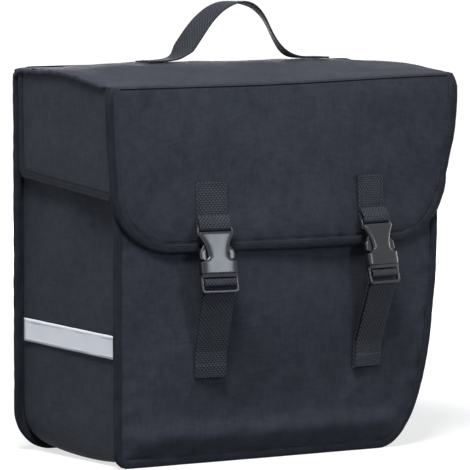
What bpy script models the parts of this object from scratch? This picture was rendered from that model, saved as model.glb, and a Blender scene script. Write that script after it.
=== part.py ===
"""Single bicycle pannier bag, modelled in metres with +Z up.

The origin is on the floor, at the middle of the back panel's lower edge. The flap faces -Y. The back
panel, which hangs on a luggage rack, faces +Y. The lower corner on the +X side is cut for the heel.
"""

import math
from collections import namedtuple

import bmesh
import bpy
from mathutils import Matrix, Vector

# Cloth, tape and webbing
CLOTH = 0.0016
TAPE = 0.0009
WEBBING = 0.0015
GAP = 0.0003
FIN = 0.0090
TAPE_STOP = 0.0012

# Body of the bag
DEPTH = 0.160
BACK_HALF_WIDTH = 0.183
LEFT_TAPER = 0.008
RIGHT_TAPER = 0.016
FRONT_CORNER = 0.014
BACK_CORNER = 0.038
HEEL_WIDE = 0.063
HEEL_TALL = 0.178
FRONT_RIM = 0.316
BACK_RIM = 0.3385
FRONT_SWELL = 0.010
CORNER_STEPS = 10
WALL_STEPS = 4

# Stiffeners
BOARD = 0.0025
BOARD_INSET = 0.0015
BASE_MARGIN = 0.002

# Lid
LID_BACK_HEIGHT = 0.3440
LID_DROP = 0.0120
LID_CROWN = 0.0045
FLAP_HEM = 0.187
FLAP_CORNER = 0.060
FLAP_TOP_OVERHANG = 0.0030
FLAP_LOW_OVERHANG = 0.0026
FLAP_EASE = 0.0008
FLAP_SWELL = 0.003
LID_SEAM = 0.0042
GUSSET_SEAM = 0.0015
GUSSET_HEM_BACK = 0.246
GUSSET_HEM_FRONT = 0.233
HEM_BAND = 0.0105
HINGE_TAPE_DROP = 0.014

# Handle
HANDLE_WIDTH = 0.025
HANDLE_BACK = 0.070
HANDLE_RISE = 0.052
HANDLE_LEFT_END = 0.103
HANDLE_RIGHT_END = 0.098
HANDLE_LEFT_CUT = 0.0470
HANDLE_RIGHT_CUT = 0.0500

# Closing straps and buckles
STRAP_X = 0.084
STRAP_WIDTH = 0.030
STRAP_EASE = 0.0005
STRAP_SEWN = 0.021
STRAP_RUN = 0.057
STRAP_ANCHOR = 0.062
STRAP_LIFT = 0.100
TAIL_END = 0.073
BUCKLE_TILT = math.radians(14)
BUCKLE_DROP = 0.018
BUCKLE_STANDOFF = 0.0160
BUCKLE_HALF = 0.0172
BUCKLE_THICK = 0.010
SOCKET_LENGTH = 0.0352
COLLAR = 0.0107
COLLAR_WALL = 0.0034
WAIST_HALF = 0.0090
BAR = 0.003
RAIL = 0.003
PRONG_THICK = 0.0044
PRONG_REACH = 0.0168
PRONG_LENGTH = 0.027
PRONG_ROOT = 0.0095
TONGUE_HALF = 0.0032

# Reflective strips
STRIP_LOW = 0.095
STRIP_TALL = 0.0205
STRIP_THICK = 0.0006
STRIP_MARGIN = 0.006

# Rack fittings
HOOK_X = 0.095
HOOK_WIDTH = 0.030
HOOK_THICK = 0.0035
HOOK_BELOW_RIM = 0.0385
HOOK_TALL = 0.052
HOOK_SLOT = 0.016
HOOK_TONGUE = 0.028
HOOK_BEND = 0.005
RIVET_MARGIN = 0.010
RIVET_PITCH = 0.020
RIVET_SHANK = 0.002
RIVET_HEAD = 0.0045
RIVET_HEAD_TALL = 0.0018
PLATE = 0.0015
PLATE_MARGIN = 0.008
STAY_HEIGHT = 0.105
STAY_LENGTH = 0.170
STAY_WIDTH = 0.025

Face = namedtuple("Face", "left right corner rim")
FRONT = Face(LEFT_TAPER - BACK_HALF_WIDTH, BACK_HALF_WIDTH - RIGHT_TAPER, FRONT_CORNER, FRONT_RIM)
BACK = Face(-BACK_HALF_WIDTH, BACK_HALF_WIDTH, BACK_CORNER, BACK_RIM)

# Sizes that follow from the ones above
LAP = FIN - TAPE_STOP
FLAP_TOP_HALF = BACK_HALF_WIDTH + FLAP_TOP_OVERHANG
LID_HALF = FLAP_TOP_HALF - LID_SEAM
FLAP_STANDOFF = CLOTH + 2 * (TAPE + GAP) + FLAP_EASE
LID_FRONT_HEIGHT = LID_BACK_HEIGHT - LID_DROP
FLAP_TOP = LID_FRONT_HEIGHT - CLOTH - GAP
LID_FRONT = -DEPTH - FLAP_STANDOFF
GUSSET_TOP_HALF = LID_HALF - GUSSET_SEAM
GUSSET_CLEAR = FLAP_EASE + TAPE + GAP + CLOTH
GUSSET_LOW_LEFT = GUSSET_CLEAR - FRONT.left
GUSSET_LOW_RIGHT = GUSSET_CLEAR + FRONT.right
GUSSET_BACK = -CLOTH - 2 * TAPE - 2 * GAP - FLAP_EASE
HINGE_Y = 2 * GAP
HINGE_Z = LID_BACK_HEIGHT - CLOTH - 2 * TAPE
BAR_LOOP = BAR / 2 + 2 * GAP + WEBBING / 2
BUCKLE_HEIGHT = FLAP_HEM - BUCKLE_DROP
STRAP_FOLD = BUCKLE_HEIGHT + STRAP_RUN
STRAP_TOP = STRAP_FOLD + STRAP_SEWN
HOOK_TOP = BACK_RIM - HOOK_BELOW_RIM
HOOK_LOW = HOOK_TOP - HOOK_TALL
RIVET_LOW = HOOK_LOW + RIVET_MARGIN
PANEL_COLUMNS = 10
LID_STEPS = 12


def lerp(a, b, t):
    return a + (b - a) * t


def clamp(value):
    return max(-1.0, min(1.0, value))


# Scene helpers

def clear_scene():
    for item in list(bpy.data.objects):
        bpy.data.objects.remove(item, do_unlink=True)
    for group in list(bpy.data.collections):
        bpy.data.collections.remove(group)


def material(name, color, roughness, metallic=0.0):
    made = bpy.data.materials.new(name)
    made.use_nodes = True
    shader = made.node_tree.nodes["Principled BSDF"]
    shader.inputs["Base Color"].default_value = (*color, 1.0)
    shader.inputs["Roughness"].default_value = roughness
    shader.inputs["Metallic"].default_value = metallic
    made.diffuse_color = (*color, 1.0)
    return made


def add(name, data, finish, parent=None):
    """A named piece of the bag in the bag's own collection."""
    piece = bpy.data.objects.new(name, data)
    bpy.data.collections["pannier_bag"].objects.link(piece)
    if finish:
        data.materials.append(finish)
    piece.parent = parent
    return piece


def empty(name, location, rotation=(0, 0, 0), parent=None):
    made = add(name, None, None, parent)
    made.location = location
    made.rotation_euler = rotation
    return made


def as_cutter(piece):
    """Keep a helper solid out of sight, in the cutters' collection."""
    bpy.data.collections["pannier_bag"].objects.unlink(piece)
    bpy.data.collections["cutters"].objects.link(piece)
    piece.hide_render = True
    piece.display_type = "WIRE"
    return piece


def boolean(piece, other, operation):
    step = piece.modifiers.new(operation.lower(), "BOOLEAN")
    step.solver = "EXACT"
    step.operation = operation
    step.object = other


def sheet(name, columns, rows, place, thickness, finish, parent=None):
    """A panel: a flat grid bent to place(u, v), thickened away from the side its normals face."""
    mesh = bpy.data.meshes.new(name)
    grid = bmesh.new()
    bmesh.ops.create_grid(grid, x_segments=columns, y_segments=rows, size=0.5)
    for vertex in grid.verts:
        vertex.co = place(vertex.co.x + 0.5, vertex.co.y + 0.5)
    grid.to_mesh(mesh)
    grid.free()
    piece = add(name, mesh, finish, parent)
    thicken = piece.modifiers.new("cloth", "SOLIDIFY")
    thicken.thickness = thickness
    thicken.offset = -1
    thicken.use_even_offset = True
    return piece


def block(name, low, high, finish, parent=None):
    mesh = bpy.data.meshes.new(name)
    cube = bmesh.new()
    bmesh.ops.create_cube(cube, size=1.0)
    for vertex in cube.verts:
        vertex.co = [lerp(a, b, c + 0.5) for a, b, c in zip(low, high, vertex.co)]
    cube.to_mesh(mesh)
    cube.free()
    return add(name, mesh, finish, parent)


def rounded(points, radius, steps=5):
    """The path through points, with each inner corner turned into an arc of up to this radius."""
    points = [Vector(point) for point in points]
    path = [points[0]]
    for before, corner, after in zip(points, points[1:], points[2:]):
        arriving, leaving = (corner - before), (after - corner)
        turn = arriving.angle(leaving, 0.0)
        if turn < 0.01:
            path.append(corner)
            continue
        reach = min(radius * math.tan(turn / 2), 0.48 * arriving.length, 0.48 * leaving.length)
        start = corner - arriving.normalized() * reach
        end = corner + leaving.normalized() * reach
        for k in range(steps + 1):
            t = k / steps
            path.append(start * (1 - t) ** 2 + corner * (2 * t * (1 - t)) + end * t ** 2)
    path.append(points[-1])
    return path


def band_outline(path, thickness):
    """The closed outline of a band laid along a path."""
    sides = ([], [])
    for i, point in enumerate(path):
        ahead = path[min(i + 1, len(path) - 1)]
        behind = path[max(i - 1, 0)]
        arriving = (point - behind).normalized()
        leaving = (ahead - point).normalized()
        along = (arriving + leaving).normalized()
        across = Vector((-along.y, along.x))
        fold = max(along.dot(leaving), along.dot(arriving), 0.7)
        sides[0].append(point + across * (thickness / 2 / fold))
        sides[1].append(point - across * (thickness / 2 / fold))
    return sides[0] + sides[1][::-1]


def extruded(name, outlines, thickness, axes, finish, parent=None):
    """A flat outline, with any holes after it, extruded both ways and turned to the given axes."""
    curve = bpy.data.curves.new(name, "CURVE")
    curve.dimensions = "2D"
    curve.fill_mode = "BOTH"
    curve.extrude = thickness / 2
    for outline in outlines:
        spline = curve.splines.new("POLY")
        spline.points.add(len(outline) - 1)
        spline.use_cyclic_u = True
        for target, point in zip(spline.points, outline):
            target.co = (point[0], point[1], 0, 1)
    shape = bpy.data.objects.new(name, curve)
    bpy.context.scene.collection.objects.link(shape)
    bpy.context.view_layer.update()
    graph = bpy.context.evaluated_depsgraph_get()
    mesh = bpy.data.meshes.new_from_object(shape.evaluated_get(graph))
    bpy.data.objects.remove(shape, do_unlink=True)
    weld = bmesh.new()
    weld.from_mesh(mesh)
    bmesh.ops.remove_doubles(weld, verts=weld.verts, dist=1e-6)
    bmesh.ops.recalc_face_normals(weld, faces=weld.faces)
    weld.transform(Matrix(axes).transposed().to_4x4())
    weld.to_mesh(mesh)
    weld.free()
    mesh.materials.clear()
    return add(name, mesh, finish, parent)


# Local axes of an extruded outline: its first and second direction, then the way it is extruded
SIDE_VIEW = ((0, 1, 0), (0, 0, 1), (1, 0, 0))
FRONT_VIEW = ((1, 0, 0), (0, 0, 1), (0, -1, 0))


# Outlines of the front and back panels

def heights(face, inset):
    """Heights at which an outline is sampled, close together along the round lower corners."""
    tall = HEEL_TALL - inset
    curve = [inset + tall * (1 - math.cos(math.pi / 2 * k / CORNER_STEPS)) for k in range(CORNER_STEPS + 1)]
    return curve + [lerp(HEEL_TALL, face.rim, k / WALL_STEPS) for k in range(1, WALL_STEPS + 1)]


def left_edge(face, inset, z):
    radius = max(face.corner - inset, 0.0)
    drop = max(radius - (z - inset), 0.0)
    return face.left + inset + radius - math.sqrt(max(radius ** 2 - drop ** 2, 0.0))


def right_edge(face, inset, z):
    drop = max(HEEL_TALL - z, 0.0) / (HEEL_TALL - inset)
    return face.right - inset - (HEEL_WIDE - inset) * (1 - math.sqrt(max(1 - drop ** 2, 0.0)))


def left_path(face, inset):
    return [(left_edge(face, inset, z), z) for z in heights(face, inset)]


def right_path(face, inset):
    return [(right_edge(face, inset, z), z) for z in heights(face, inset)]


def front_y(x, z):
    """Outer face of the front panel, swelling outwards between its seams."""
    left, right = left_edge(FRONT, 0, max(z, 0)), right_edge(FRONT, 0, max(z, 0))
    across = clamp((2 * x - left - right) / (right - left))
    up = clamp(2 * z / FRONT_RIM - 1)
    return -DEPTH - FRONT_SWELL * ((1 - across ** 2) * (1 - up ** 2)) ** 2


# Body of the bag

def build_front_panel(cloth):
    edge = TAPE + GAP
    levels = heights(FRONT, edge)

    def place(u, v):
        z = levels[round(v * (len(levels) - 1))]
        x = lerp(left_edge(FRONT, edge, z), right_edge(FRONT, edge, z), u)
        return x, front_y(x, z), z

    sheet("front_panel", PANEL_COLUMNS, len(levels) - 1, place, CLOTH, cloth)


def build_back_sheet(name, face, edge, y, thickness, finish):
    levels = heights(face, edge)

    def place(u, v):
        z = levels[round(v * (len(levels) - 1))]
        return lerp(right_edge(face, edge, z), left_edge(face, edge, z), u), y, z

    return sheet(name, 1, len(levels) - 1, place, thickness, finish)


def side_point(path, index, depth):
    """A point of the gusset, from 0 at the front panel to 1 at the back panel."""
    (xf, zf), (xb, zb) = path(FRONT, FIN)[index], path(BACK, FIN)[index]
    y = lerp(-DEPTH + CLOTH + GAP, -CLOTH - GAP, depth)
    return lerp(xf, xb, depth), y, lerp(zf, zb, depth)


def build_gusset(cloth):
    last = CORNER_STEPS + WALL_STEPS
    sheet("left_side_panel", 4, last,
          lambda u, v: side_point(left_path, round(v * last), 1 - u), CLOTH, cloth)
    sheet("right_side_panel", 4, last,
          lambda u, v: side_point(right_path, round(v * last), u), CLOTH, cloth)

    def bottom(u, v):
        left, right = side_point(left_path, 0, u), side_point(right_path, 0, u)
        return lerp(left[0] + CLOTH, right[0] - CLOTH, v), left[1], left[2]

    sheet("bottom_panel", 1, 1, bottom, CLOTH, cloth)


def build_binding(name, face, surface, tape):
    """Tape folded round the seam of a panel: down the right side, along the bottom, up the left side."""
    outer = right_path(face, 0)[::-1] + left_path(face, 0)
    inner = right_path(face, LAP)[::-1] + left_path(face, LAP)

    def place(u, v):
        index, fold = round(u * (len(outer) - 1)), round(v * 3)
        x, z = (inner, outer, outer, inner)[fold][index]
        y = surface(x, z)
        return x, (y[0] - GAP - TAPE if fold < 2 else y[1] + GAP + TAPE), z

    sheet(name, len(outer) - 1, 3, place, TAPE, tape)


def build_stiffeners(board):
    inset = FIN + CLOTH + BOARD_INSET
    face = BACK._replace(rim=BACK_RIM - BASE_MARGIN)
    back = build_back_sheet("back_board", face, inset, -CLOTH - GAP, BOARD, board)
    left = left_path(BACK, FIN)[0][0] + BASE_MARGIN
    right = right_path(FRONT, FIN)[0][0] - BASE_MARGIN
    low = FIN + CLOTH + GAP
    block("base_board", (left, -DEPTH + CLOTH + BASE_MARGIN, low),
          (right, -CLOTH - 2 * GAP - BOARD - PLATE, low + BOARD), board)
    return back


def build_strips(strip):
    """Reflective strips that follow the side panels."""
    front, back = -DEPTH + CLOTH + STRIP_MARGIN, -CLOTH - STRIP_MARGIN

    def surface(edge, y, z):
        depth = (y + DEPTH) / DEPTH
        return lerp(edge(FRONT, FIN, z), edge(BACK, FIN, z), depth)

    def left(u, v):
        y, z = lerp(back, front, u), STRIP_LOW + STRIP_TALL * v
        return surface(left_edge, y, z) - GAP - STRIP_THICK, y, z

    def right(u, v):
        y, z = lerp(front, back, u), STRIP_LOW + STRIP_TALL * v
        return surface(right_edge, y, z) + GAP + STRIP_THICK, y, z

    sheet("reflector_left", 4, 1, left, STRIP_THICK, strip)
    sheet("reflector_right", 4, 4, right, STRIP_THICK, strip)


# Lid

def lid_edge_z(y):
    """Height of the lid's side edges: level behind, then easing down to the crease in front."""
    t = max(0.0, min(1.0, (y / LID_FRONT - 0.45) / 0.55))
    return LID_BACK_HEIGHT - LID_DROP * t * t * (3 - 2 * t)


def lid_z(x, y):
    swell = (1 - (x / LID_HALF) ** 4) * math.sin(math.pi * max(0.0, min(1.0, y / LID_FRONT)))
    return lid_edge_z(y) + LID_CROWN * swell


def flap_heights(inset):
    corner = FLAP_CORNER - inset
    curve = [FLAP_HEM + inset + corner * (1 - math.cos(math.pi / 2 * k / CORNER_STEPS))
             for k in range(CORNER_STEPS + 1)]
    return curve + [lerp(FLAP_HEM + FLAP_CORNER, FLAP_TOP, k / WALL_STEPS) for k in range(1, WALL_STEPS + 1)]


def flap_half(sign, inset, z):
    """Half width of the flap on one side: a taper from the crease, then a turn round the lower corner."""
    start = FLAP_HEM + FLAP_CORNER
    low = (GUSSET_LOW_LEFT if sign < 0 else GUSSET_LOW_RIGHT) + FLAP_LOW_OVERHANG
    half = lerp(low, FLAP_TOP_HALF, max(z - start, 0.0) / (LID_FRONT_HEIGHT - start)) - inset
    corner = FLAP_CORNER - inset
    drop = max(start - z, 0.0) / corner
    return half - corner * (1 - math.sqrt(max(1 - drop ** 2, 0.0)))


def flap_y(x, z):
    """Outer face of the flap, which stands off the front panel and swells a little more."""
    across = clamp(x / (GUSSET_LOW_LEFT + FLAP_LOW_OVERHANG))
    hang = max(0.0, min(1.0, (LID_FRONT_HEIGHT - z) / (LID_FRONT_HEIGHT - FLAP_HEM)))
    return front_y(x, z) - FLAP_STANDOFF - FLAP_SWELL * (1 - across ** 2) ** 2 * (1 - (1 - hang) ** 3)


def build_lid_panels(cloth):
    def top(u, v):
        x, y = (2 * u - 1) * LID_HALF, lerp(LID_FRONT, -GAP, v)
        return x, y, lid_z(x, y)

    edge = TAPE + GAP
    levels = flap_heights(edge)

    def front(u, v):
        z = levels[round(v * (len(levels) - 1))]
        x = lerp(-flap_half(-1, edge, z), flap_half(1, edge, z), u)
        return x, flap_y(x, z), z

    sheet("lid_top", PANEL_COLUMNS, LID_STEPS, top, CLOTH, cloth)
    sheet("lid_flap", PANEL_COLUMNS, len(levels) - 1, front, CLOTH, cloth)


def build_flap_binding(tape):
    def path(inset):
        right = [(flap_half(1, inset, z), z) for z in flap_heights(inset)]
        left = [(-flap_half(-1, inset, z), z) for z in flap_heights(inset)]
        hem = [(lerp(right[0][0], left[0][0], k / PANEL_COLUMNS), left[0][1]) for k in range(1, PANEL_COLUMNS)]
        return right[::-1] + hem + left

    outer, inner = path(0), path(LAP)

    def place(u, v):
        index, fold = round(u * (len(outer) - 1)), round(v * 3)
        x, z = (inner, outer, outer, inner)[fold][index]
        y = flap_y(x, z)
        return x, (y - GAP - TAPE if fold < 2 else y + CLOTH + GAP + TAPE), z

    sheet("flap_binding", len(outer) - 1, 3, place, TAPE, tape)


def gusset_front():
    return LID_FRONT + CLOTH + 2 * GAP + TAPE


def gusset_hem(y):
    return lerp(GUSSET_HEM_BACK, GUSSET_HEM_FRONT, (y - GUSSET_BACK) / (gusset_front() - GUSSET_BACK))


def gusset_top(y):
    return lid_edge_z(y) - CLOTH - 3 * GAP


def gusset_x(sign, y, z):
    """Outer face of a lid gusset, as a distance from the middle; the right one tapers with the body."""
    up = (z - gusset_hem(y)) / (gusset_top(y) - gusset_hem(y))
    forward = (y - GUSSET_BACK) / (gusset_front() - GUSSET_BACK)
    low = GUSSET_LOW_LEFT if sign < 0 else lerp(GUSSET_LOW_LEFT, GUSSET_LOW_RIGHT, forward)
    return lerp(low, GUSSET_TOP_HALF, up)


def build_lid_gussets(cloth, tape):
    edge = TAPE + GAP
    back, front = GUSSET_BACK - edge, gusset_front()
    for side, sign in (("left", -1), ("right", 1)):
        def panel(u, v):
            y = lerp(back, front, u) if sign < 0 else lerp(front, back, u)
            z = lerp(gusset_hem(y) + edge, gusset_top(y), v)
            return sign * gusset_x(sign, y, z), y, z

        def corners(inset, wide):
            hem_end, turn = front + GAP, GUSSET_BACK - inset
            low = [(y, gusset_hem(y) + wide) for y in (hem_end, lerp(hem_end, turn, 0.5), turn)]
            points = low + [(turn, gusset_top(GUSSET_BACK) - GAP)]
            return points if sign < 0 else points[::-1]

        outer, inner = corners(0, 0), corners(LAP, HEM_BAND)

        def band(u, v):
            index, fold = round(u * 3), round(v * 3)
            y, z = (inner, outer, outer, inner)[fold][index]
            x = gusset_x(sign, y, z)
            return sign * (x + GAP + TAPE if fold < 2 else x - CLOTH - GAP - TAPE), y, z

        sheet(f"lid_gusset_{side}", LID_STEPS, 1, panel, CLOTH, cloth)
        sheet(f"gusset_binding_{side}", 3, 3, band, TAPE, tape)


def build_hinge_tape(tape):
    half = left_edge(BACK, LAP + TAPE_STOP, BACK_RIM)

    def place(u, v):
        return lerp(-half, half, u), GAP + TAPE, BACK_RIM - HINGE_TAPE_DROP * (1 - v) + GAP

    sheet("hinge_tape", 1, 1, place, TAPE, tape)


# Handle

def build_handle(webbing):
    """One webbing arch, cut upright into two sewn ends and the loop that swings between them."""
    y = -HANDLE_BACK
    slope = math.atan2(lid_z(0, y + 0.001) - lid_z(0, y - 0.001), 0.002)
    base = lid_z(0, y)
    ground = WEBBING / 2 + 2 * GAP
    loop = ((-0.54, 0.03), (-0.49, 0.16), (-0.40, 0.40), (-0.28, 0.68), (-0.15, 0.88), (-0.01, 0.99),
            (0.15, 1.0), (0.30, 0.90), (0.41, 0.70), (0.47, 0.46), (0.51, 0.22), (0.56, 0.06), (0.61, 0.01))

    def over(x, rise):
        return x, lid_z(x, y) - base + ground + rise

    path = [over(-HANDLE_LEFT_END, 0), over(lerp(-HANDLE_LEFT_END, -0.072, 0.5), 0)]
    path += [over(a * HANDLE_LEFT_END if a < 0 else a * HANDLE_RIGHT_END, b * HANDLE_RISE) for a, b in loop]
    path += [over(lerp(0.06, HANDLE_RIGHT_END, 0.5), 0), over(HANDLE_RIGHT_END, 0)]
    outline = band_outline(rounded(path, 0.02, 3), WEBBING)
    frame = empty("handle_frame", (0, y, base), (slope, 0, 0))
    high, deep = 2 * HANDLE_RISE, HANDLE_WIDTH
    spans = (("handle_end_left", -2 * HANDLE_LEFT_END, -HANDLE_LEFT_CUT - GAP),
             ("handle_loop", -HANDLE_LEFT_CUT, HANDLE_RIGHT_CUT),
             ("handle_end_right", HANDLE_RIGHT_CUT + GAP, 2 * HANDLE_RIGHT_END))
    for name, start, stop in spans:
        part = extruded(name, [outline], HANDLE_WIDTH, FRONT_VIEW, webbing, frame)
        keep = block(f"{name}_keep", (start, -deep, -high), (stop, deep, high), None, frame)
        boolean(part, as_cutter(keep), "INTERSECT")


# Closing straps and buckles

def strap_turn():
    """Slope of the flap across a strap, by which the strap and its buckle are turned."""
    step = 0.001
    rise = flap_y(STRAP_X + step, FLAP_HEM) - flap_y(STRAP_X - step, FLAP_HEM)
    return math.atan2(rise, 2 * step)


def strap_station(side, sign):
    """A frame on the flap where a strap runs, turned to face the way the cloth does there."""
    place = (sign * STRAP_X, flap_y(STRAP_X, FLAP_HEM), 0)
    return empty(f"strap_station_{side}", place, (0, 0, sign * strap_turn()))


def over_cloth(surface, sign, z, out=0.0):
    """A point of the strap's middle line, just clear of the cloth over the strap's whole width."""
    reach = STRAP_WIDTH / 2
    slope = math.tan(strap_turn())
    highest = min(surface(sign * (STRAP_X + dx), z) - slope * dx for dx in (-reach, 0, reach))
    return highest - flap_y(STRAP_X, FLAP_HEM) - STRAP_EASE - WEBBING / 2 - out, z


def in_buckle(out, along):
    """A point of the tilted buckle, in the strap's own frame: distance outwards, and up from its mouth."""
    y = -BUCKLE_STANDOFF - out * math.cos(BUCKLE_TILT) + along * math.sin(BUCKLE_TILT)
    return y, BUCKLE_HEIGHT + out * math.sin(BUCKLE_TILT) + along * math.cos(BUCKLE_TILT)


SOCKET_SLOT = WEBBING + BAR_LOOP
SOCKET_BAR = SOCKET_LENGTH + SOCKET_SLOT + BAR / 2
SHOULDER = 0.0032
PLUG_BAR = -SHOULDER - WEBBING - 4 * GAP - BAR / 2
PLUG_END = PLUG_BAR - BAR / 2 - WEBBING - 4 * GAP - RAIL


def build_straps(side, sign, station, webbing):
    def on_flap(z, out=0.0):
        return over_cloth(flap_y, sign, z, out)

    def on_panel(z, out=0.0):
        return over_cloth(front_y, sign, z, out)

    low = SOCKET_BAR - BAR_LOOP
    middle = lerp(STRAP_FOLD, BUCKLE_HEIGHT + SOCKET_BAR, 0.5)
    upper = [on_flap(STRAP_TOP), on_flap(STRAP_FOLD), on_flap(middle),
             in_buckle(-BAR_LOOP, low), in_buckle(BAR_LOOP, low),
             in_buckle(BAR_LOOP, SOCKET_BAR + BAR), on_flap(STRAP_FOLD, 2 * WEBBING)]
    extruded(f"upper_strap_{side}", [band_outline(rounded(upper, BAR_LOOP), WEBBING)],
             STRAP_WIDTH, SIDE_VIEW, webbing, station)
    rise, fall = PLUG_BAR + BAR_LOOP, PLUG_BAR - BAR_LOOP
    tail = -RAIL / 2 - 3 * GAP - WEBBING / 2
    load = tail - WEBBING - 2 * GAP
    lower = [on_panel(STRAP_ANCHOR), on_panel(lerp(STRAP_ANCHOR, STRAP_LIFT, 0.5)), on_panel(STRAP_LIFT),
             in_buckle(load, PLUG_END), in_buckle(load, rise), in_buckle(BAR_LOOP, rise),
             in_buckle(BAR_LOOP, fall), in_buckle(lerp(tail, BAR_LOOP, 0.5), fall), in_buckle(tail, fall),
             in_buckle(tail, PLUG_END - RAIL),
             on_panel(STRAP_LIFT, 4 * WEBBING), on_panel(TAIL_END, 3 * WEBBING)]
    extruded(f"lower_strap_{side}", [band_outline(rounded(lower, BAR_LOOP), WEBBING)],
             STRAP_WIDTH, SIDE_VIEW, webbing, station)


def build_socket(side, frame, plastic):
    """Socket shell: waisted plates, a mouth collar, a cavity open at the waist, and the webbing bar."""
    half, waist, top = BUCKLE_HALF, WAIST_HALF, SOCKET_LENGTH
    right = [(half, 0), (half, COLLAR), (lerp(waist, half, 0.4), COLLAR + 0.0012), (waist, COLLAR + 0.0055),
             (waist + 0.0008, COLLAR + 0.009), (lerp(waist, half, 0.6), COLLAR + 0.0165), (half, COLLAR + 0.0215),
             (half, top)]
    outline = right + [(-x, z) for x, z in right[::-1]]
    socket = extruded(f"buckle_socket_{side}", [outline], BUCKLE_THICK, FRONT_VIEW, plastic, frame)
    room = PRONG_THICK / 2 + 2 * GAP
    wide = half - COLLAR_WALL
    cavity = block(f"socket_cavity_{side}", (-wide, -room, -0.001), (wide, room, PRONG_LENGTH + 0.0015), None, frame)
    boolean(socket, as_cutter(cavity), "DIFFERENCE")
    inner = STRAP_WIDTH / 2 + GAP
    reach = SOCKET_BAR + BAR / 2
    slot = [(-inner, top + GAP), (inner, top + GAP), (inner, SOCKET_BAR - BAR / 2), (-inner, SOCKET_BAR - BAR / 2)]
    rim = [(-half, top - 0.001), (half, top - 0.001), (half, reach), (-half, reach)]
    bar = extruded(f"socket_bar_{side}", [rim, slot], BAR, FRONT_VIEW, None, frame)
    boolean(socket, as_cutter(bar), "UNION")


def build_plug(side, frame, plastic):
    """Plug: a ladder frame for the webbing, a shoulder that meets the socket, and a middle tongue."""
    half, inner = BUCKLE_HALF, STRAP_WIDTH / 2 + GAP
    rim = [(-half, PLUG_END), (half, PLUG_END), (half, -GAP), (-half, -GAP)]
    slots = []
    for low, high in ((PLUG_BAR + BAR / 2, -SHOULDER), (PLUG_END + RAIL, PLUG_BAR - BAR / 2)):
        slots.append([(-inner, low), (inner, low), (inner, high), (-inner, high)])
    plug = extruded(f"buckle_plug_{side}", [rim, *slots], RAIL, FRONT_VIEW, plastic, frame)
    deep = BUCKLE_THICK / 2
    shoulder = block(f"plug_shoulder_{side}", (-half, -deep, -SHOULDER), (half, deep, -GAP), None, frame)
    boolean(plug, as_cutter(shoulder), "UNION")
    thick = PRONG_THICK / 2
    tongue = block(f"plug_tongue_{side}", (-TONGUE_HALF, -thick, -SHOULDER / 2),
                   (TONGUE_HALF, thick, PRONG_LENGTH - 0.002), None, frame)
    boolean(plug, as_cutter(tongue), "UNION")


def build_prongs(side, frame, plastic):
    """Two spring prongs, each with its origin on the line about which it bends."""
    arm = BUCKLE_HALF - COLLAR_WALL - 2 * GAP
    step = COLLAR + 0.0016
    shape = [(PRONG_ROOT - 0.0015, GAP), (PRONG_ROOT + 0.0015, GAP), (arm, COLLAR - 0.002), (arm, step),
             (PRONG_REACH - 0.0004, step), (PRONG_REACH, step + 0.003), (PRONG_REACH - 0.0006, step + 0.009),
             (PRONG_ROOT + 0.0025, PRONG_LENGTH - 0.0005), (PRONG_ROOT, PRONG_LENGTH - 0.001),
             (arm - 0.0032, step + 0.006), (arm - 0.0030, step - 0.003)]
    for hand, sign in (("left", -1), ("right", 1)):
        root = empty(f"prong_root_{side}_{hand}", (sign * PRONG_ROOT, 0, GAP), parent=frame)
        outline = [(sign * (x - PRONG_ROOT), z - GAP) for x, z in shape]
        extruded(f"prong_{side}_{hand}", [outline], PRONG_THICK, FRONT_VIEW, plastic, root)


def build_closures(webbing, plastic):
    for side, sign in (("left", -1), ("right", 1)):
        station = strap_station(side, sign)
        build_straps(side, sign, station, webbing)
        place = (0, -BUCKLE_STANDOFF, BUCKLE_HEIGHT)
        frame = empty(f"buckle_frame_{side}", place, (-BUCKLE_TILT, 0, 0), station)
        build_socket(side, frame, plastic)
        build_plug(side, frame, plastic)
        build_prongs(side, frame, plastic)


# Rack fittings

def turned(name, profile, finish, location):
    """A turned piece, its axis along Y, from a profile of radius and height run from top to bottom."""
    mesh = bpy.data.meshes.new(name)
    mesh.from_pydata([(r, 0, h) for r, h in profile], [(k, k + 1) for k in range(len(profile) - 1)], [])
    piece = add(name, mesh, finish)
    piece.location = location
    piece.rotation_euler = (-math.pi / 2, 0, 0)
    spin = piece.modifiers.new("turn", "SCREW")
    spin.steps = spin.render_steps = 16
    spin.use_merge_vertices = True
    spin.merge_threshold = 0.00001
    return piece


def rivet_spots():
    return [(sign * HOOK_X, RIVET_LOW + RIVET_PITCH * k) for sign in (-1, 1) for k in (0, 1)]


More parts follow.
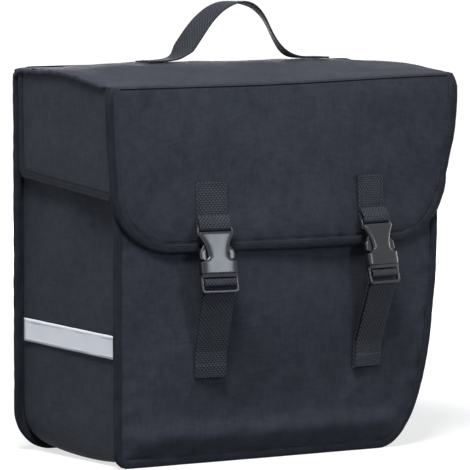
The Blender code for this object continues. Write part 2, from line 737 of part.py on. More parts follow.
def build_rack_fittings(plastic, steel, webbing, panel, board):
    holes = bpy.data.meshes.new("rivet_holes")
    drills = bmesh.new()
    for x, z in rivet_spots():
        turn = Matrix.Translation((x, 0, z)) @ Matrix.Rotation(math.pi / 2, 4, "X")
        bmesh.ops.create_cone(drills, cap_ends=True, segments=16, radius1=RIVET_SHANK + GAP,
                              radius2=RIVET_SHANK + GAP, depth=0.06, matrix=turn)
    drills.to_mesh(holes)
    drills.free()
    drill = as_cutter(add("rivet_holes", holes, None))
    boolean(panel, drill, "DIFFERENCE")
    boolean(board, drill, "DIFFERENCE")

    foot = GAP + HOOK_THICK / 2
    far = foot + HOOK_SLOT + HOOK_THICK
    top = HOOK_TOP - HOOK_THICK / 2
    path = rounded([(foot, HOOK_LOW), (foot, top), (far, top), (far, HOOK_TOP - HOOK_TONGUE)], HOOK_BEND)
    inside = -CLOTH - GAP - BOARD - GAP
    for side, sign in (("left", -1), ("right", 1)):
        hook = extruded(f"rack_hook_{side}", [band_outline(path, HOOK_THICK)], HOOK_WIDTH, SIDE_VIEW, plastic)
        hook.location.x = sign * HOOK_X
        boolean(hook, drill, "DIFFERENCE")
        reach = HOOK_WIDTH / 2
        plate = block(f"hook_plate_{side}", (sign * HOOK_X - reach, inside - PLATE, RIVET_LOW - PLATE_MARGIN),
                      (sign * HOOK_X + reach, inside, RIVET_LOW + RIVET_PITCH + PLATE_MARGIN), steel)
        boolean(plate, drill, "DIFFERENCE")

    outer, inner = 2 * GAP + HOOK_THICK, inside - PLATE - GAP
    profile = [(0, outer + RIVET_HEAD_TALL), (RIVET_HEAD * 0.6, outer + RIVET_HEAD_TALL * 0.85),
               (RIVET_HEAD, outer + RIVET_HEAD_TALL * 0.3), (RIVET_HEAD, outer), (RIVET_SHANK, outer),
               (RIVET_SHANK, inner), (RIVET_HEAD * 0.85, inner), (RIVET_HEAD * 0.85, inner - 0.0012), (0, inner - 0.0012)]
    for number, (x, z) in enumerate(rivet_spots(), 1):
        turned(f"hook_rivet_{number}", profile, steel, (x, 0, z))
    block("stay_strap", (-STAY_LENGTH / 2, GAP, STAY_HEIGHT - STAY_WIDTH / 2),
          (STAY_LENGTH / 2, GAP + WEBBING, STAY_HEIGHT + STAY_WIDTH / 2), webbing)


def main():
    clear_scene()
    for name in ("pannier_bag", "cutters"):
        bpy.context.scene.collection.children.link(bpy.data.collections.new(name))
    cloth = material("coated_cloth", (0.030, 0.033, 0.043), 0.75)
    tape = material("binding_tape", (0.022, 0.024, 0.024), 0.80)
    webbing = material("webbing", (0.028, 0.030, 0.034), 0.85)
    plastic = material("buckle_plastic", (0.020, 0.021, 0.024), 0.35)
    strip = material("reflective_strip", (0.62, 0.63, 0.68), 0.40)
    board = material("stiffener_board", (0.05, 0.05, 0.05), 0.55)
    steel = material("rivet_steel", (0.55, 0.55, 0.56), 0.35, 1.0)

    build_front_panel(cloth)
    build_gusset(cloth)
    panel = build_back_sheet("back_panel", BACK, TAPE + GAP, 0.0, CLOTH, cloth)
    stiffener = build_stiffeners(board)
    build_binding("front_binding", FRONT, lambda x, z: (front_y(x, z), front_y(x, z) + CLOTH), tape)
    build_binding("back_binding", BACK, lambda x, z: (-CLOTH, 0.0), tape)
    build_strips(strip)
    build_lid_panels(cloth)
    build_flap_binding(tape)
    build_lid_gussets(cloth, tape)
    build_hinge_tape(tape)
    build_handle(webbing)
    build_closures(webbing, plastic)
    build_rack_fittings(plastic, steel, webbing, panel, stiffener)


if __name__ == "__main__":
    main()
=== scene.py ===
"""Looks of the pannier bag: sewn cloth, bound seams, webbing, buckles, finishes, light and camera."""

import math
from functools import partial

import bpy
import numpy as np
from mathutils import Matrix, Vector


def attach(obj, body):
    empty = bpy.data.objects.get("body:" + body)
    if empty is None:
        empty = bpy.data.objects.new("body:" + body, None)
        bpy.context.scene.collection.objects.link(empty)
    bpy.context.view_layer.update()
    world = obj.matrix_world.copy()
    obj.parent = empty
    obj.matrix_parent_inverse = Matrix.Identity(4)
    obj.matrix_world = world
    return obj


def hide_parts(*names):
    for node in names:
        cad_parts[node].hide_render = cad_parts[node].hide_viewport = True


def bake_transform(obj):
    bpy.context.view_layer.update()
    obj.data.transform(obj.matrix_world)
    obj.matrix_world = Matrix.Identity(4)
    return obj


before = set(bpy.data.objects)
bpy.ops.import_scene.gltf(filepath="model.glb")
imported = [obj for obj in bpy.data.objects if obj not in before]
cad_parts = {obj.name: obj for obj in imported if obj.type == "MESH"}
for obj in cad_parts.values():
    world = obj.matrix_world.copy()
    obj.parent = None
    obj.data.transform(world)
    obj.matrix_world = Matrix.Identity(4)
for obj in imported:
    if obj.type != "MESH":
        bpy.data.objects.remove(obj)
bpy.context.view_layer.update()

# Camera, worked out from the photograph's outline
TURN = math.radians(32.7)
RAISE = math.radians(5.0)
DISTANCE = 4.0
LENS_PIXELS = 4440.0
FRAME_PIXELS = 470.0
AIM_PIXELS = (1.1, 29.5)
AIM_POINT = (0.002, -0.080, 0.165)

# Sizes are the CAD model's, apart from those marked "photo", which are fitted to the photograph

# Cloth, tape and webbing
CLOTH = 0.0016
TAPE = 0.0009
WEBBING = 0.0015
GAP = 0.0003
FIN = 0.0090
LAP = 0.0078
INSET = LAP * 0.6  # a panel's cut edge, under its binding
COVER = LAP * 0.4  # how far the binding reaches over the panel
STITCH_LINE = LAP * 0.82

# Body
DEPTH = 0.160
FRONT = {"left": -0.175, "right": 0.167, "corner": 0.014, "rim": 0.316}
BACK = {"left": -0.183, "right": 0.183, "corner": 0.038, "rim": 0.3385}
HEEL_WIDE = 0.063
HEEL_TALL = 0.178
FRONT_SWELL = 0.013  # photo
BOTTOM_SAG = 0.0080
SAG_POWER = 0.4
FRONT_CREASES = (  # height of the ridge, its two ends, half width
    (0.0013, (0.145, 0.150), (0.080, 0.020), 0.010),
    (0.0011, (0.130, 0.110), (0.030, 0.018), 0.009),
    (-0.0010, (0.150, 0.120), (0.095, 0.012), 0.007),
    (0.0015, (-0.165, 0.060), (-0.090, 0.015), 0.010),
)

# Lid
LID_BACK_HEIGHT = 0.3440
LID_DROP = 0.0095  # photo
LID_FRONT_HEIGHT = LID_BACK_HEIGHT - LID_DROP
LID_CROWN = 0.0045
LID_HALF = 0.1818
LID_CORNER = 0.005
LID_DIP = 0.0022  # the top's fall towards the middle of its front edge
FLAP_HEM = 0.187
FLAP_CORNER = 0.060
FLAP_TOP_HALF = 0.1860
FLAP_LOW_LEFT = 0.1812
FLAP_LOW_RIGHT = 0.1732
FLAP_STANDOFF = CLOTH + 2 * (TAPE + GAP) + 0.0008
FLAP_SWELL = 0.004  # photo
FLAP_TOP = LID_FRONT_HEIGHT - CLOTH - GAP
FLAP_LIFT_START = 0.28
LID_FRONT = -DEPTH - FLAP_STANDOFF
GUSSET_LOW_LEFT = 0.1786
GUSSET_LOW_RIGHT = 0.1706
GUSSET_TOP_HALF = 0.1803
GUSSET_BACK = -0.0048
GUSSET_FRONT = LID_FRONT + CLOTH + 2 * GAP + TAPE
GUSSET_HEM_BACK = 0.246
GUSSET_HEM_FRONT = 0.233
HEM_BAND = 0.0105

# Handle; its arch is in shares of its half length and of its rise
HANDLE_WIDTH = 0.025
HANDLE_BACK = -0.070
HANDLE_RISE = 0.052
HANDLE_LEFT_END = 0.103
HANDLE_RIGHT_END = 0.098
HANDLE_ARCH = ((-0.53, 0.03), (-0.475, 0.16), (-0.38, 0.40), (-0.26, 0.68), (-0.14, 0.87), (-0.01, 0.98),
               (0.15, 1.0), (0.30, 0.89), (0.40, 0.69), (0.465, 0.47), (0.53, 0.27), (0.61, 0.11),
               (0.69, 0.03), (0.75, 0.003))
HANDLE_LEAN = math.radians(-22)
HANDLE_TWIST = math.radians(32)

# Closing straps and buckles
STRAP_X = 0.084
STRAP_WIDTH = 0.030
STRAP_EASE = 0.0005
STRAP_TOP = 0.249  # photo
STRAP_FOLD = 0.219  # photo
STRAP_BOX = (0.2225, 0.2465)
STRAP_ANCHOR = 0.062
STRAP_LIFT = 0.100
TAIL_END = 0.073
STRAP_STEP = 0.0008
BOX_HALF = 0.012  # half the width of a sewn box
BOX_TALL = 0.009  # half its height
BUCKLE_TILT = math.radians(14)
BUCKLE_HEIGHT = 0.169
BUCKLE_STANDOFF = 0.0160
BUCKLE_HALF = 0.0172
BUCKLE_DEEP = 0.005
SOCKET_LENGTH = 0.0352
COLLAR = 0.0107
COLLAR_WALL = 0.0034
WAIST_HALF = 0.0090
BAR = 0.003
RAIL = 0.003
SHOULDER = 0.0032
BAR_LOOP = BAR / 2 + 2 * GAP + WEBBING / 2
SOCKET_BAR = SOCKET_LENGTH + WEBBING + BAR_LOOP + BAR / 2
PLUG_BAR = -SHOULDER - WEBBING - 4 * GAP - BAR / 2
PLUG_END = PLUG_BAR - BAR / 2 - WEBBING - 4 * GAP - RAIL
LADDER_FOOT = PLUG_END + RAIL / 2 - 0.0024  # photo
PRONG_THICK = 0.0044
PRONG_REACH = 0.0168
PRONG_LENGTH = 0.027
PRONG_ROOT = 0.0095
TONGUE_HALF = 0.0032

# Reflective strips and the strap behind
STRIP_LOW = 0.095
STRIP_TALL = 0.0205
STRIP_THICK = 0.0006
STRIP_MARGIN = 0.006
STRIP_RISE = 0.0030
STRIP_SLANT = 0.0050  # photo
STRIP_SEAM = 0.0022
STAY_HEIGHT = 0.105
STAY_LENGTH = 0.170
STAY_WIDTH = 0.025

# Powers of the rounded oblongs, and the angle from which an edge is sharp
TAPE_ROUND = 2.5
WEB_ROUND = 8.0
FOLD_ROUND = 2.2
SHARP = math.radians(40)

X_WAY, Y_WAY, Z_WAY = np.eye(3)
WHITE = (1.0, 1.0, 1.0)


# Small array helpers

def mix(a, b, t):
    """The straight blend from a to b."""
    return a + (b - a) * t


def unit(vectors):
    """Each vector divided by its length."""
    return vectors / np.maximum(np.linalg.norm(vectors, axis=-1, keepdims=True), 1e-12)


def joined(*parts):
    """Coordinates put together as points, each spread over the grid of the others."""
    return np.stack(np.broadcast_arrays(*parts), axis=-1)


def rows(count, start=0, end=1):
    """Even steps from start to end down the rows of a grid."""
    return np.linspace(start, end, count)[:, None]


def ease(t):
    """Smooth step from 0 to 1: three t squared less two t cubed."""
    t = np.clip(t, 0.0, 1.0)
    return t * t * (3 - 2 * t)


def bell(t):
    """A bell curve: the exponential of minus t squared."""
    return np.exp(-t ** 2)


def ripple(a, b, seed, wave, count=7):
    """Sum of sine waves of random direction and phase, of about this wavelength, from about -1 to 1."""
    draw = np.random.default_rng(seed)
    heading = draw.uniform(0, math.tau, count)
    length = wave * draw.uniform(0.6, 1.6, count)
    phase = draw.uniform(0, math.tau, count)
    waves = np.zeros(np.broadcast(a, b).shape)
    for turn, span, start in zip(heading, length, phase):
        waves += np.sin(math.tau * (a * math.cos(turn) + b * math.sin(turn)) / span + start)
    return waves / math.sqrt(count) / 1.4


def crease(a, b, start, end, width):
    """A soft ridge along the line from start to end: a bell across the line, fading at both ends."""
    start, end = np.array(start), np.array(end)
    run = end - start
    length = np.linalg.norm(run)
    along = ((a - start[0]) * run[0] + (b - start[1]) * run[1]) / length
    across = ((a - start[0]) * -run[1] + (b - start[1]) * run[0]) / length
    return bell(across / width) * (ease(along / length * 3) * ease((1 - along / length) * 3))


# Mesh makers

def shown(name, mesh, slot, body, nodes=(), finish=None, wall=0.0):
    """The mesh as a smooth piece with its finish; it moves with its body and stands for its CAD nodes."""
    mesh.shade_smooth()
    mesh.materials.append(FINISHES[finish or slot])
    piece = bpy.data.objects.new(name, mesh)
    bpy.context.scene.collection.objects.link(piece)
    if wall:
        thicken = piece.modifiers.new("wall", "SOLIDIFY")
        thicken.thickness = wall
        thicken.offset = -1
    if body:
        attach(piece, body)
    if nodes:
        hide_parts(*nodes)
    return piece


def lay(name, points, slot, body, *nodes, finish=None, wall=0.0):
    """A surface through a grid of points; its UV map is the run length in metres along both directions.

    With a wall it is a sheet of this thickness. Without one it is joined round and capped at both ends.
    """
    columns = points.shape[1]
    index = np.arange(points.shape[0] * columns).reshape(points.shape[:2])
    around = points
    if not wall:
        around = np.concatenate([points, points[:, :1]], axis=1)
        index = np.concatenate([index, index[:, :1]], axis=1)
    run = np.zeros((*around.shape[:2], 2))
    run[1:, :, 0] = np.cumsum(np.linalg.norm(np.diff(around, axis=0), axis=-1), axis=0)
    run[:, 1:, 1] = np.cumsum(np.linalg.norm(np.diff(around, axis=1), axis=-1), axis=1)

    def corners(grid):
        """The four corners of each cell."""
        return np.stack([grid[:-1, :-1], grid[1:, :-1], grid[1:, 1:], grid[:-1, 1:]], axis=2)

    faces = corners(index).reshape(-1, 4).tolist()
    loops = corners(run).reshape(-1, 2)
    if not wall:
        faces += [index[0, :columns].tolist(), index[-1, :columns][::-1].tolist()]
        loops = np.concatenate([loops, run[0, :columns], run[-1, :columns][::-1]])
    mesh = bpy.data.meshes.new(name)
    mesh.from_pydata(points.reshape(-1, 3), [], faces)
    mesh.uv_layers.new(name="UVMap").data.foreach_set("uv", loops.astype(np.float32).ravel())
    piece = shown(name, mesh, slot, body, nodes, finish, wall)
    mesh.set_sharp_from_angle(angle=SHARP)
    return piece


def pill(width, height, count=20, power=4.0):
    """A rounded oblong: the superellipse of this power, as points round its edge."""
    angle = np.linspace(0, math.tau, count, endpoint=False)
    cosine, sine = np.cos(angle), np.sin(angle)
    x = np.sign(cosine) * np.abs(cosine) ** (2 / power) * width / 2
    y = np.sign(sine) * np.abs(sine) ** (2 / power) * height / 2
    return joined(x, y)


def carry(path, profile, side, thick=1.0, wide=1.0):
    """A profile carried along a path: its first axis lies along side, its second along tangent x side."""
    tangent = unit(np.gradient(path, axis=0))
    side = np.broadcast_to(side, path.shape)
    side = unit(side - tangent * np.sum(side * tangent, axis=-1, keepdims=True))
    rise = np.cross(tangent, side)
    full = np.ones(len(path))
    section = profile * joined(full * wide, full * thick)[:, None]
    return path[:, None] + section[..., :1] * side[:, None] + section[..., 1:] * rise[:, None]


def beside(path, way):
    """At each point of a path, the direction square to it and to this way."""
    return np.cross(np.gradient(path, axis=0), way)


def rounded(points, radius, steps=8):
    """The path through points, each inner corner turned into a quadratic curve of up to this radius."""
    points = np.array(points, float)
    path = [points[:1]]
    t = rows(steps + 1)
    for before, corner, after in zip(points, points[1:], points[2:]):
        arriving, leaving = corner - before, after - corner
        sizes = np.linalg.norm(arriving), np.linalg.norm(leaving)
        turn = math.acos(np.clip(arriving @ leaving / (sizes[0] * sizes[1]), -1, 1))
        reach = min(radius * math.tan(turn / 2), 0.48 * sizes[0], 0.48 * sizes[1])
        start = corner - arriving / sizes[0] * reach
        end = corner + leaving / sizes[1] * reach
        path.append(start * (1 - t) ** 2 + corner * 2 * t * (1 - t) + end * t ** 2)
    return np.concatenate([*path, points[-1:]])


def evenly(path, step):
    """The same path with points at even run lengths, about one step apart."""
    run = np.concatenate([[0.0], np.cumsum(np.linalg.norm(np.diff(path, axis=0), axis=-1))])
    places = np.linspace(0, run[-1], max(int(run[-1] / step), 2) + 1)
    return joined(*(np.interp(places, run, part) for part in path.T))


def cloth_panel(name, points, body, node):
    """A panel of cloth through a grid of points: a sheet a little thinner than the cloth.
    """
    piece = lay(name, points, "cloth", body, node, wall=CLOTH * 0.8)


def sewn_box(start, stop, low, high, corners=6):
    """The seam of a sewn box, corner by corner; the sixth corner adds its diagonal."""
    seam = [(start, low), (stop, low), (stop, high), (start, high), (start, low), (stop, high)]
    return evenly(np.array(seam[:corners]), 0.001)


def stitches(name, path, out, slot, body, pitch=0.0034, length=0.0024, thick=0.00075):
    """A row of stitches: one small spindle per pitch along the path, sunk half way into the cloth."""
    spots = evenly(path, pitch)
    spots = (spots[1:] + spots[:-1]) / 2
    tangent = unit(np.gradient(spots, axis=0))
    side = unit(np.cross(tangent, out))
    rise = np.cross(side, tangent)
    run = np.linspace(-0.5, 0.5, 5)
    girth = np.sqrt(np.maximum(1 - (2 * run) ** 2, 0.05)) * thick / 2
    angle = np.linspace(0, math.tau, 6, endpoint=False)
    ring = girth[:, None, None] * joined(np.cos(angle), np.sin(angle))
    points = (spots[:, None, None] + run[:, None, None] * length * tangent[:, None, None]
              + ring[..., :1] * side[:, None, None] + ring[..., 1:] * rise[:, None, None])
    index = np.arange(len(spots) * 30).reshape(-1, 5, 6)
    index = np.concatenate([index, index[..., :1]], axis=2)
    quads = joined(index[:, :-1, :-1], index[:, :-1, 1:], index[:, 1:, 1:], index[:, 1:, :-1])
    ends = np.concatenate([index[:, 0, 5::-1], index[:, -1, :6]])
    mesh = bpy.data.meshes.new(name)
    mesh.from_pydata(points.reshape(-1, 3), [], quads.reshape(-1, 4).tolist() + ends.tolist())
    shown(name, mesh, slot, body, finish="pale_thread" if slot == "reflective" else "thread")


# Outlines and faces of the bag, after the CAD model

def climb(low, turn, high, fine):
    """Heights from low to high: a quarter cosine, close together at the foot, up to turn, and even above."""
    foot = low + (turn - low) * (1 - np.cos(np.linspace(0, math.pi / 2, fine + 1)))
    return np.concatenate([foot, np.linspace(turn, high, fine + 1)[1:]])


def heights(face, inset):
    """Heights of a face's outline, turning at the top of the heel."""
    return climb(inset, HEEL_TALL, face["rim"], 48)


def left_edge(face, inset, z):
    """Left outline: upright, then a quarter circle into the bottom."""
    radius = max(face["corner"] - inset, 0.0)
    drop = np.maximum(radius - (z - inset), 0.0)
    return face["left"] + inset + radius - np.sqrt(np.maximum(radius ** 2 - drop ** 2, 0.0))


def right_edge(face, inset, z):
    """Right outline: upright, then a quarter ellipse, the room for a heel, a little drawn in midway."""
    drop = np.maximum(HEEL_TALL - z, 0.0) / (HEEL_TALL - inset)
    drawn_in = 0.0018 * bell((z - 0.125) / 0.050)
    scoop = (HEEL_WIDE - inset) * (1 - np.sqrt(np.maximum(1 - drop ** 2, 0.0)))
    return face["right"] - inset - drawn_in - scoop


SIDES = {"left": (left_edge, -1), "right": (right_edge, 1)}


def front_y(x, z):
    """Front panel: the depth plus a swell that is the square of two parabolas."""
    low = np.maximum(z, 0.0)
    left, right = left_edge(FRONT, 0.0, low), right_edge(FRONT, 0.0, low)
    across = np.clip((2 * x - left - right) / (right - left), -1, 1)
    up = np.clip(2 * z / FRONT["rim"] - 1, -1, 1)
    return -DEPTH - FRONT_SWELL * ((1 - across ** 2) * (1 - up ** 2)) ** 2


def lid_edge_z(y):
    """Lid's side edges: level behind, easing down to the crease in front."""
    return LID_BACK_HEIGHT - LID_DROP * ease((y / LID_FRONT - 0.45) / 0.55)


def lid_z(x, y):
    """Lid's top: its edge height plus a crown, a flat-topped arch across and half a sine wave along."""
    swell = (1 - (x / LID_HALF) ** 4) * np.sin(math.pi * np.clip(y / LID_FRONT, 0, 1))
    return lid_edge_z(y) + LID_CROWN * swell


def lid_shoulder(x, y):
    """Lid's right side: a little lower behind and fuller in front, eased in from the middle."""
    forward = (0.0, 0.25, 0.50, 0.65, 0.75, 0.85, 0.95, 1.0)
    fuller = (0.0, -0.0016, -0.0002, 0.0010, 0.0018, 0.0027, 0.0036, 0.0040)
    return np.interp(y / LID_FRONT, forward, fuller) * ease((x + 0.05) / 0.23)


def flap_lift(x, z):
    """The flap's top edge follows the lid's fuller corner."""
    share = ease((z - FLAP_LIFT_START) / (FLAP_TOP - FLAP_LIFT_START))
    return lid_shoulder(x, np.full_like(x, LID_FRONT)) * share


def flap_heights(inset):
    """Heights of the flap's outline, turning at the top of its round corners."""
    return climb(FLAP_HEM + inset, FLAP_HEM + FLAP_CORNER, FLAP_TOP, 40)


def flap_half(way, inset, z):
    """Half width of the flap on one side: a bowed taper from the crease, a quarter circle into the hem."""
    start = FLAP_HEM + FLAP_CORNER
    low, bow = (FLAP_LOW_LEFT, 0.0010) if way < 0 else (FLAP_LOW_RIGHT, 0.0038)
    taper = np.maximum(z - start, 0.0) / (LID_FRONT_HEIGHT - start)
    drop = np.maximum(start - z, 0.0) / (FLAP_CORNER - inset)
    turn = (FLAP_CORNER - inset) * (1 - np.sqrt(np.maximum(1 - drop ** 2, 0.0)))
    top = np.clip((z - FLAP_TOP + 0.010) / 0.010, 0, 1)
    bowed = mix(low, FLAP_TOP_HALF, taper) + bow * np.sin(math.pi * np.clip(taper, 0, 1))
    return bowed - inset - turn - 0.0022 * (1 - np.sqrt(1 - top ** 2))


def flap_y(x, z):
    """Flap: the front panel's face, a standoff, and a swell that grows towards the hem."""
    across = np.clip(x / FLAP_LOW_LEFT, -1, 1)
    hang = np.clip((LID_FRONT_HEIGHT - z) / (LID_FRONT_HEIGHT - FLAP_HEM), 0, 1)
    return front_y(x, z) - FLAP_STANDOFF - FLAP_SWELL * (1 - across ** 2) ** 2 * (1 - (1 - hang) ** 3)


def gusset_share(y):
    """How far forward a place on the lid's side lies, from 0 behind to 1 in front."""
    return (y - GUSSET_BACK) / (GUSSET_FRONT - GUSSET_BACK)


def gusset_hem(y):
    """Hem of the lid's side: a straight line, lower in front."""
    return mix(GUSSET_HEM_BACK, GUSSET_HEM_FRONT, gusset_share(y))


def gusset_x(way, y, z):
    """Lid side's distance from the middle: a straight rise to the seam; the right one tapers forwards."""
    up = (z - gusset_hem(y)) / (lid_edge_z(y) - gusset_hem(y))
    low = GUSSET_LOW_LEFT if way < 0 else mix(GUSSET_LOW_LEFT, GUSSET_LOW_RIGHT, gusset_share(y))
    return mix(low, GUSSET_TOP_HALF, up)


def side_edge(edge, y, z):
    """Side of the body: the straight loft from the front outline to the back one."""
    return mix(edge(FRONT, FIN, z), edge(BACK, FIN, z), (y + DEPTH) / DEPTH)


# Shader helpers and the groups shared by the finishes

def feed(tree, inputs, values):
    """Numbers and colours are set on their sockets, and outputs are linked to theirs."""
    for name, value in values.items():
        if isinstance(value, tuple):
            inputs[name].default_value = (*value, 1.0)[:len(inputs[name].default_value)]
        elif isinstance(value, (int, float)):
            inputs[name].default_value = value
        else:
            tree.links.new(value, inputs[name])


def shader_node(tree, kind, values, **settings):
    """Outputs of a new node of this kind, with its settings made and its inputs fed."""
    made = tree.nodes.new(kind)
    for name, value in settings.items():
        setattr(made, name, value)
    feed(tree, made.inputs, values)
    return made.outputs


def math_node(tree, operation, *values):
    """One step of arithmetic on numbers or outputs."""
    return shader_node(tree, "ShaderNodeMath", dict(enumerate(values)), operation=operation)[0]


def scaled(tree, value, factor, plus):
    """The value times a factor, plus a number or output."""
    return math_node(tree, "MULTIPLY_ADD", value, factor, plus)


def noise_node(tree, vector, scale, detail):
    """Noise of this scale and detail over a vector."""
    values = {"Vector": vector, "Scale": scale, "Detail": detail, "Roughness": 0.55}
    return shader_node(tree, "ShaderNodeTexNoise", values)["Fac"]


def blend_colors(tree, factor, dark, light):
    """The blend from one colour to another by a factor."""
    return shader_node(tree, "ShaderNodeMix", {0: factor, 6: dark, 7: light}, data_type="RGBA")[2]


def bump(tree, height, strength, distance):
    """The normal of a relief of this height."""
    values = {"Height": height, "Strength": strength, "Distance": distance}
    return shader_node(tree, "ShaderNodeBump", values)[0]


def node_group(name, vector, outputs, **numbers):
    """A new group that takes a vector and some numbers and gives numbers, and its two inner ends."""
    group = bpy.data.node_groups.new(name, "ShaderNodeTree")
    group.interface.new_socket(vector, in_out="INPUT", socket_type="NodeSocketVector")
    for taken, value in numbers.items():
        made = group.interface.new_socket(taken, in_out="INPUT", socket_type="NodeSocketFloat")
        made.default_value = value
    for given in outputs:
        group.interface.new_socket(given, in_out="OUTPUT", socket_type="NodeSocketFloat")
    return group, group.nodes.new("NodeGroupInput").outputs, group.nodes.new("NodeGroupOutput").inputs


def weave_group():
    """Plain weave: two crossed sine waves multiplied; their size is the relief, their sign the top thread."""
    group, inlet, outlet = node_group("weave", "Run", ("Height", "Thread"), Across=0.0009, Along=0.0009)
    parts = shader_node(group, "ShaderNodeSeparateXYZ", {0: inlet["Run"]})
    waves = []
    for run, pitch in zip(parts, ("Across", "Along")):
        turns = math_node(group, "DIVIDE", run, inlet[pitch])
        waves.append(math_node(group, "SINE", math_node(group, "MULTIPLY", turns, math.pi)))
    crossing = math_node(group, "MULTIPLY", *waves)
    feed(group, outlet, {"Height": math_node(group, "ABSOLUTE", crossing),
                         "Thread": scaled(group, crossing, 0.5, 0.5)})
    return group


def mottle_group():
    """Noise of four sizes: uneven dye, handling marks, single yarns, and lint above a threshold."""
    group, inlet, outlet = node_group("mottle", "Place", ("Slow", "Mid", "Quick", "Lint"))
    grains = ((22.0, 3.0), (85.0, 2.0), (900.0, 2.0), (420.0, 1.0))
    slow, mid, quick, specks = (noise_node(group, inlet["Place"], *grain) for grain in grains)
    lint = math_node(group, "GREATER_THAN", specks, 0.735)
    feed(group, outlet, {"Slow": slow, "Mid": mid, "Quick": quick, "Lint": lint})
    return group


def slub_group():
    """Uneven yarn: noise drawn out along the warp plus noise drawn out along the weft."""
    group, inlet, outlet = node_group("slub", "Run", ("Streak",))
    streaks = []
    for stretch in ((1.0, 5.0, 1.0), (5.0, 1.0, 1.0)):
        drawn = shader_node(group, "ShaderNodeMapping", {"Vector": inlet["Run"], "Scale": stretch})
        streaks.append(noise_node(group, drawn[0], 75.0, 2.0))
    feed(group, outlet, {"Streak": scaled(group, math_node(group, "ADD", *streaks), 1.6, -1.6)})
    return group


GROUPS = {"weave": weave_group(), "mottle": mottle_group(), "slub": slub_group()}


def group_node(tree, name, vector, **numbers):
    """Outputs of a shared group in this tree, fed with a vector and some numbers."""
    return shader_node(tree, "ShaderNodeGroup", {0: vector, **numbers}, node_tree=GROUPS[name])


def blank(name):
    """A new material: itself, its tree, the run of its cloth and its mottle."""
    made = bpy.data.materials.new(name)
    made.use_nodes = True
    tree = made.node_tree
    place = tree.nodes.new("ShaderNodeTexCoord").outputs
    return made, tree, place["UV"], group_node(tree, "mottle", place["Object"])


def coat(made, values):
    """The material with these values on its own shader."""
    feed(made.node_tree, made.node_tree.nodes["Principled BSDF"].inputs, values)
    return made


def woven(name, dark, light, roughness, threads, relief=0.5, thread=0.4, uneven=1.0):
    """Woven goods: the weave sets colour and relief, the mottle shifts the dye, lint sits on top."""
    made, tree, run, mottle = blank(name)
    weave = group_node(tree, "weave", run, Across=threads[0], Along=threads[1])
    streak = group_node(tree, "slub", run)["Streak"]
    yarn = scaled(tree, mottle["Quick"], 0.5, scaled(tree, streak, 0.55 * uneven, -0.05 - thread / 2))
    patch = scaled(tree, mottle["Mid"], uneven, -0.5 * uneven)
    crossed = scaled(tree, weave["Thread"], thread, math_node(tree, "ADD", yarn, patch))
    cloth = blend_colors(tree, scaled(tree, mottle["Slow"], 0.7, crossed), dark, light)
    lint = math_node(tree, "MULTIPLY", mottle["Lint"], 0.04)
    return coat(made, {"Base Color": blend_colors(tree, lint, cloth, (0.2, 0.21, 0.23)),
                       "Roughness": scaled(tree, mottle["Slow"], 0.25, roughness - 0.12),
                       "Normal": bump(tree, weave["Height"], relief, 0.0004),
                       "Specular IOR Level": 0.06, "Sheen Weight": 0.02, "Sheen Roughness": 0.45})


def moulded(name, dark, light, roughness):
    """Moulded plastic: a fine spark-eroded grain, and scuffs from the slow noise."""
    made, tree, _, mottle = blank(name)
    return coat(made, {"Base Color": blend_colors(tree, mottle["Slow"], dark, light),
                       "Roughness": scaled(tree, mottle["Slow"], 0.2, roughness - 0.1),
                       "Normal": bump(tree, mottle["Quick"], 0.12, 0.0003), "Specular IOR Level": 0.42})


def reflective(name, dark, light):
    """Reflective tape: pale grey beads in a fine lattice, dulled in patches."""
    made, tree, run, mottle = blank(name)
    beads = group_node(tree, "weave", run, Across=0.0016, Along=0.0016)
    shade = scaled(tree, beads["Thread"], 0.35, math_node(tree, "MULTIPLY", mottle["Slow"], 0.6))
    return coat(made, {"Base Color": blend_colors(tree, shade, dark, light), "Roughness": 0.55,
                       "Normal": bump(tree, beads["Height"], 0.2, 0.0002), "Specular IOR Level": 0.15})


def brushed(name, dark, light):
    """Plated steel: fine scratches by noise over a metal of even colour."""
    made, tree, _, mottle = blank(name)
    return coat(made, {"Base Color": blend_colors(tree, mottle["Slow"], dark, light), "Metallic": 1.0,
                       "Roughness": scaled(tree, mottle["Quick"], 0.3, 0.2)})


# Finishes by slot, and those of the thread, the painted shade of the lid's front seam and the fittings
FINISHES = {
    "cloth": woven("coated_cloth", (0.0160, 0.0186, 0.0262), (0.0415, 0.0456, 0.0582), 0.62,
                   (0.0009, 0.0009), uneven=0.7),
    "tape": woven("binding_tape", (0.0095, 0.0112, 0.0158), (0.0235, 0.0265, 0.0340), 0.70, (0.0012, 0.0030)),
    "webbing": woven("webbing", (0.0050, 0.0060, 0.0090), (0.0560, 0.0615, 0.0740), 0.56, (0.0020, 0.0017),
                     relief=1.0, thread=0.9, uneven=0.25),
    # The seam finish is painted shade: near-black colours for the shadowed crease at the lid's front.
    "seam": woven("seam_shadow", (0.0020, 0.0024, 0.0034), (0.0060, 0.0066, 0.0084), 0.80, (0.0008, 0.0008)),
    "thread": woven("sewing_thread", (0.016, 0.018, 0.021), (0.034, 0.036, 0.040), 0.6, (0.0006, 0.0006)),
    "pale_thread": woven("pale_thread", (0.46, 0.47, 0.50), (0.66, 0.67, 0.70), 0.6, (0.0006, 0.0006)),
    "plastic": moulded("buckle_plastic", (0.0070, 0.0080, 0.0115), (0.0150, 0.0165, 0.0220), 0.26),
    "board": moulded("stiffener_board", (0.030, 0.030, 0.031), (0.050, 0.050, 0.052), 0.55),
    "reflective": reflective("reflective_tape", (0.62, 0.63, 0.66), (0.90, 0.91, 0.95)),
    "steel": brushed("plated_steel", (0.42, 0.42, 0.43), (0.60, 0.60, 0.61)),
}


# Body of the bag

def puff(distance, height=0.0034, reach=0.010):
    """Cloth rises from under its binding: one less a falling exponential of the distance from the seam."""
    return height * (1 - np.exp(-np.maximum(distance, 0.0) / reach))


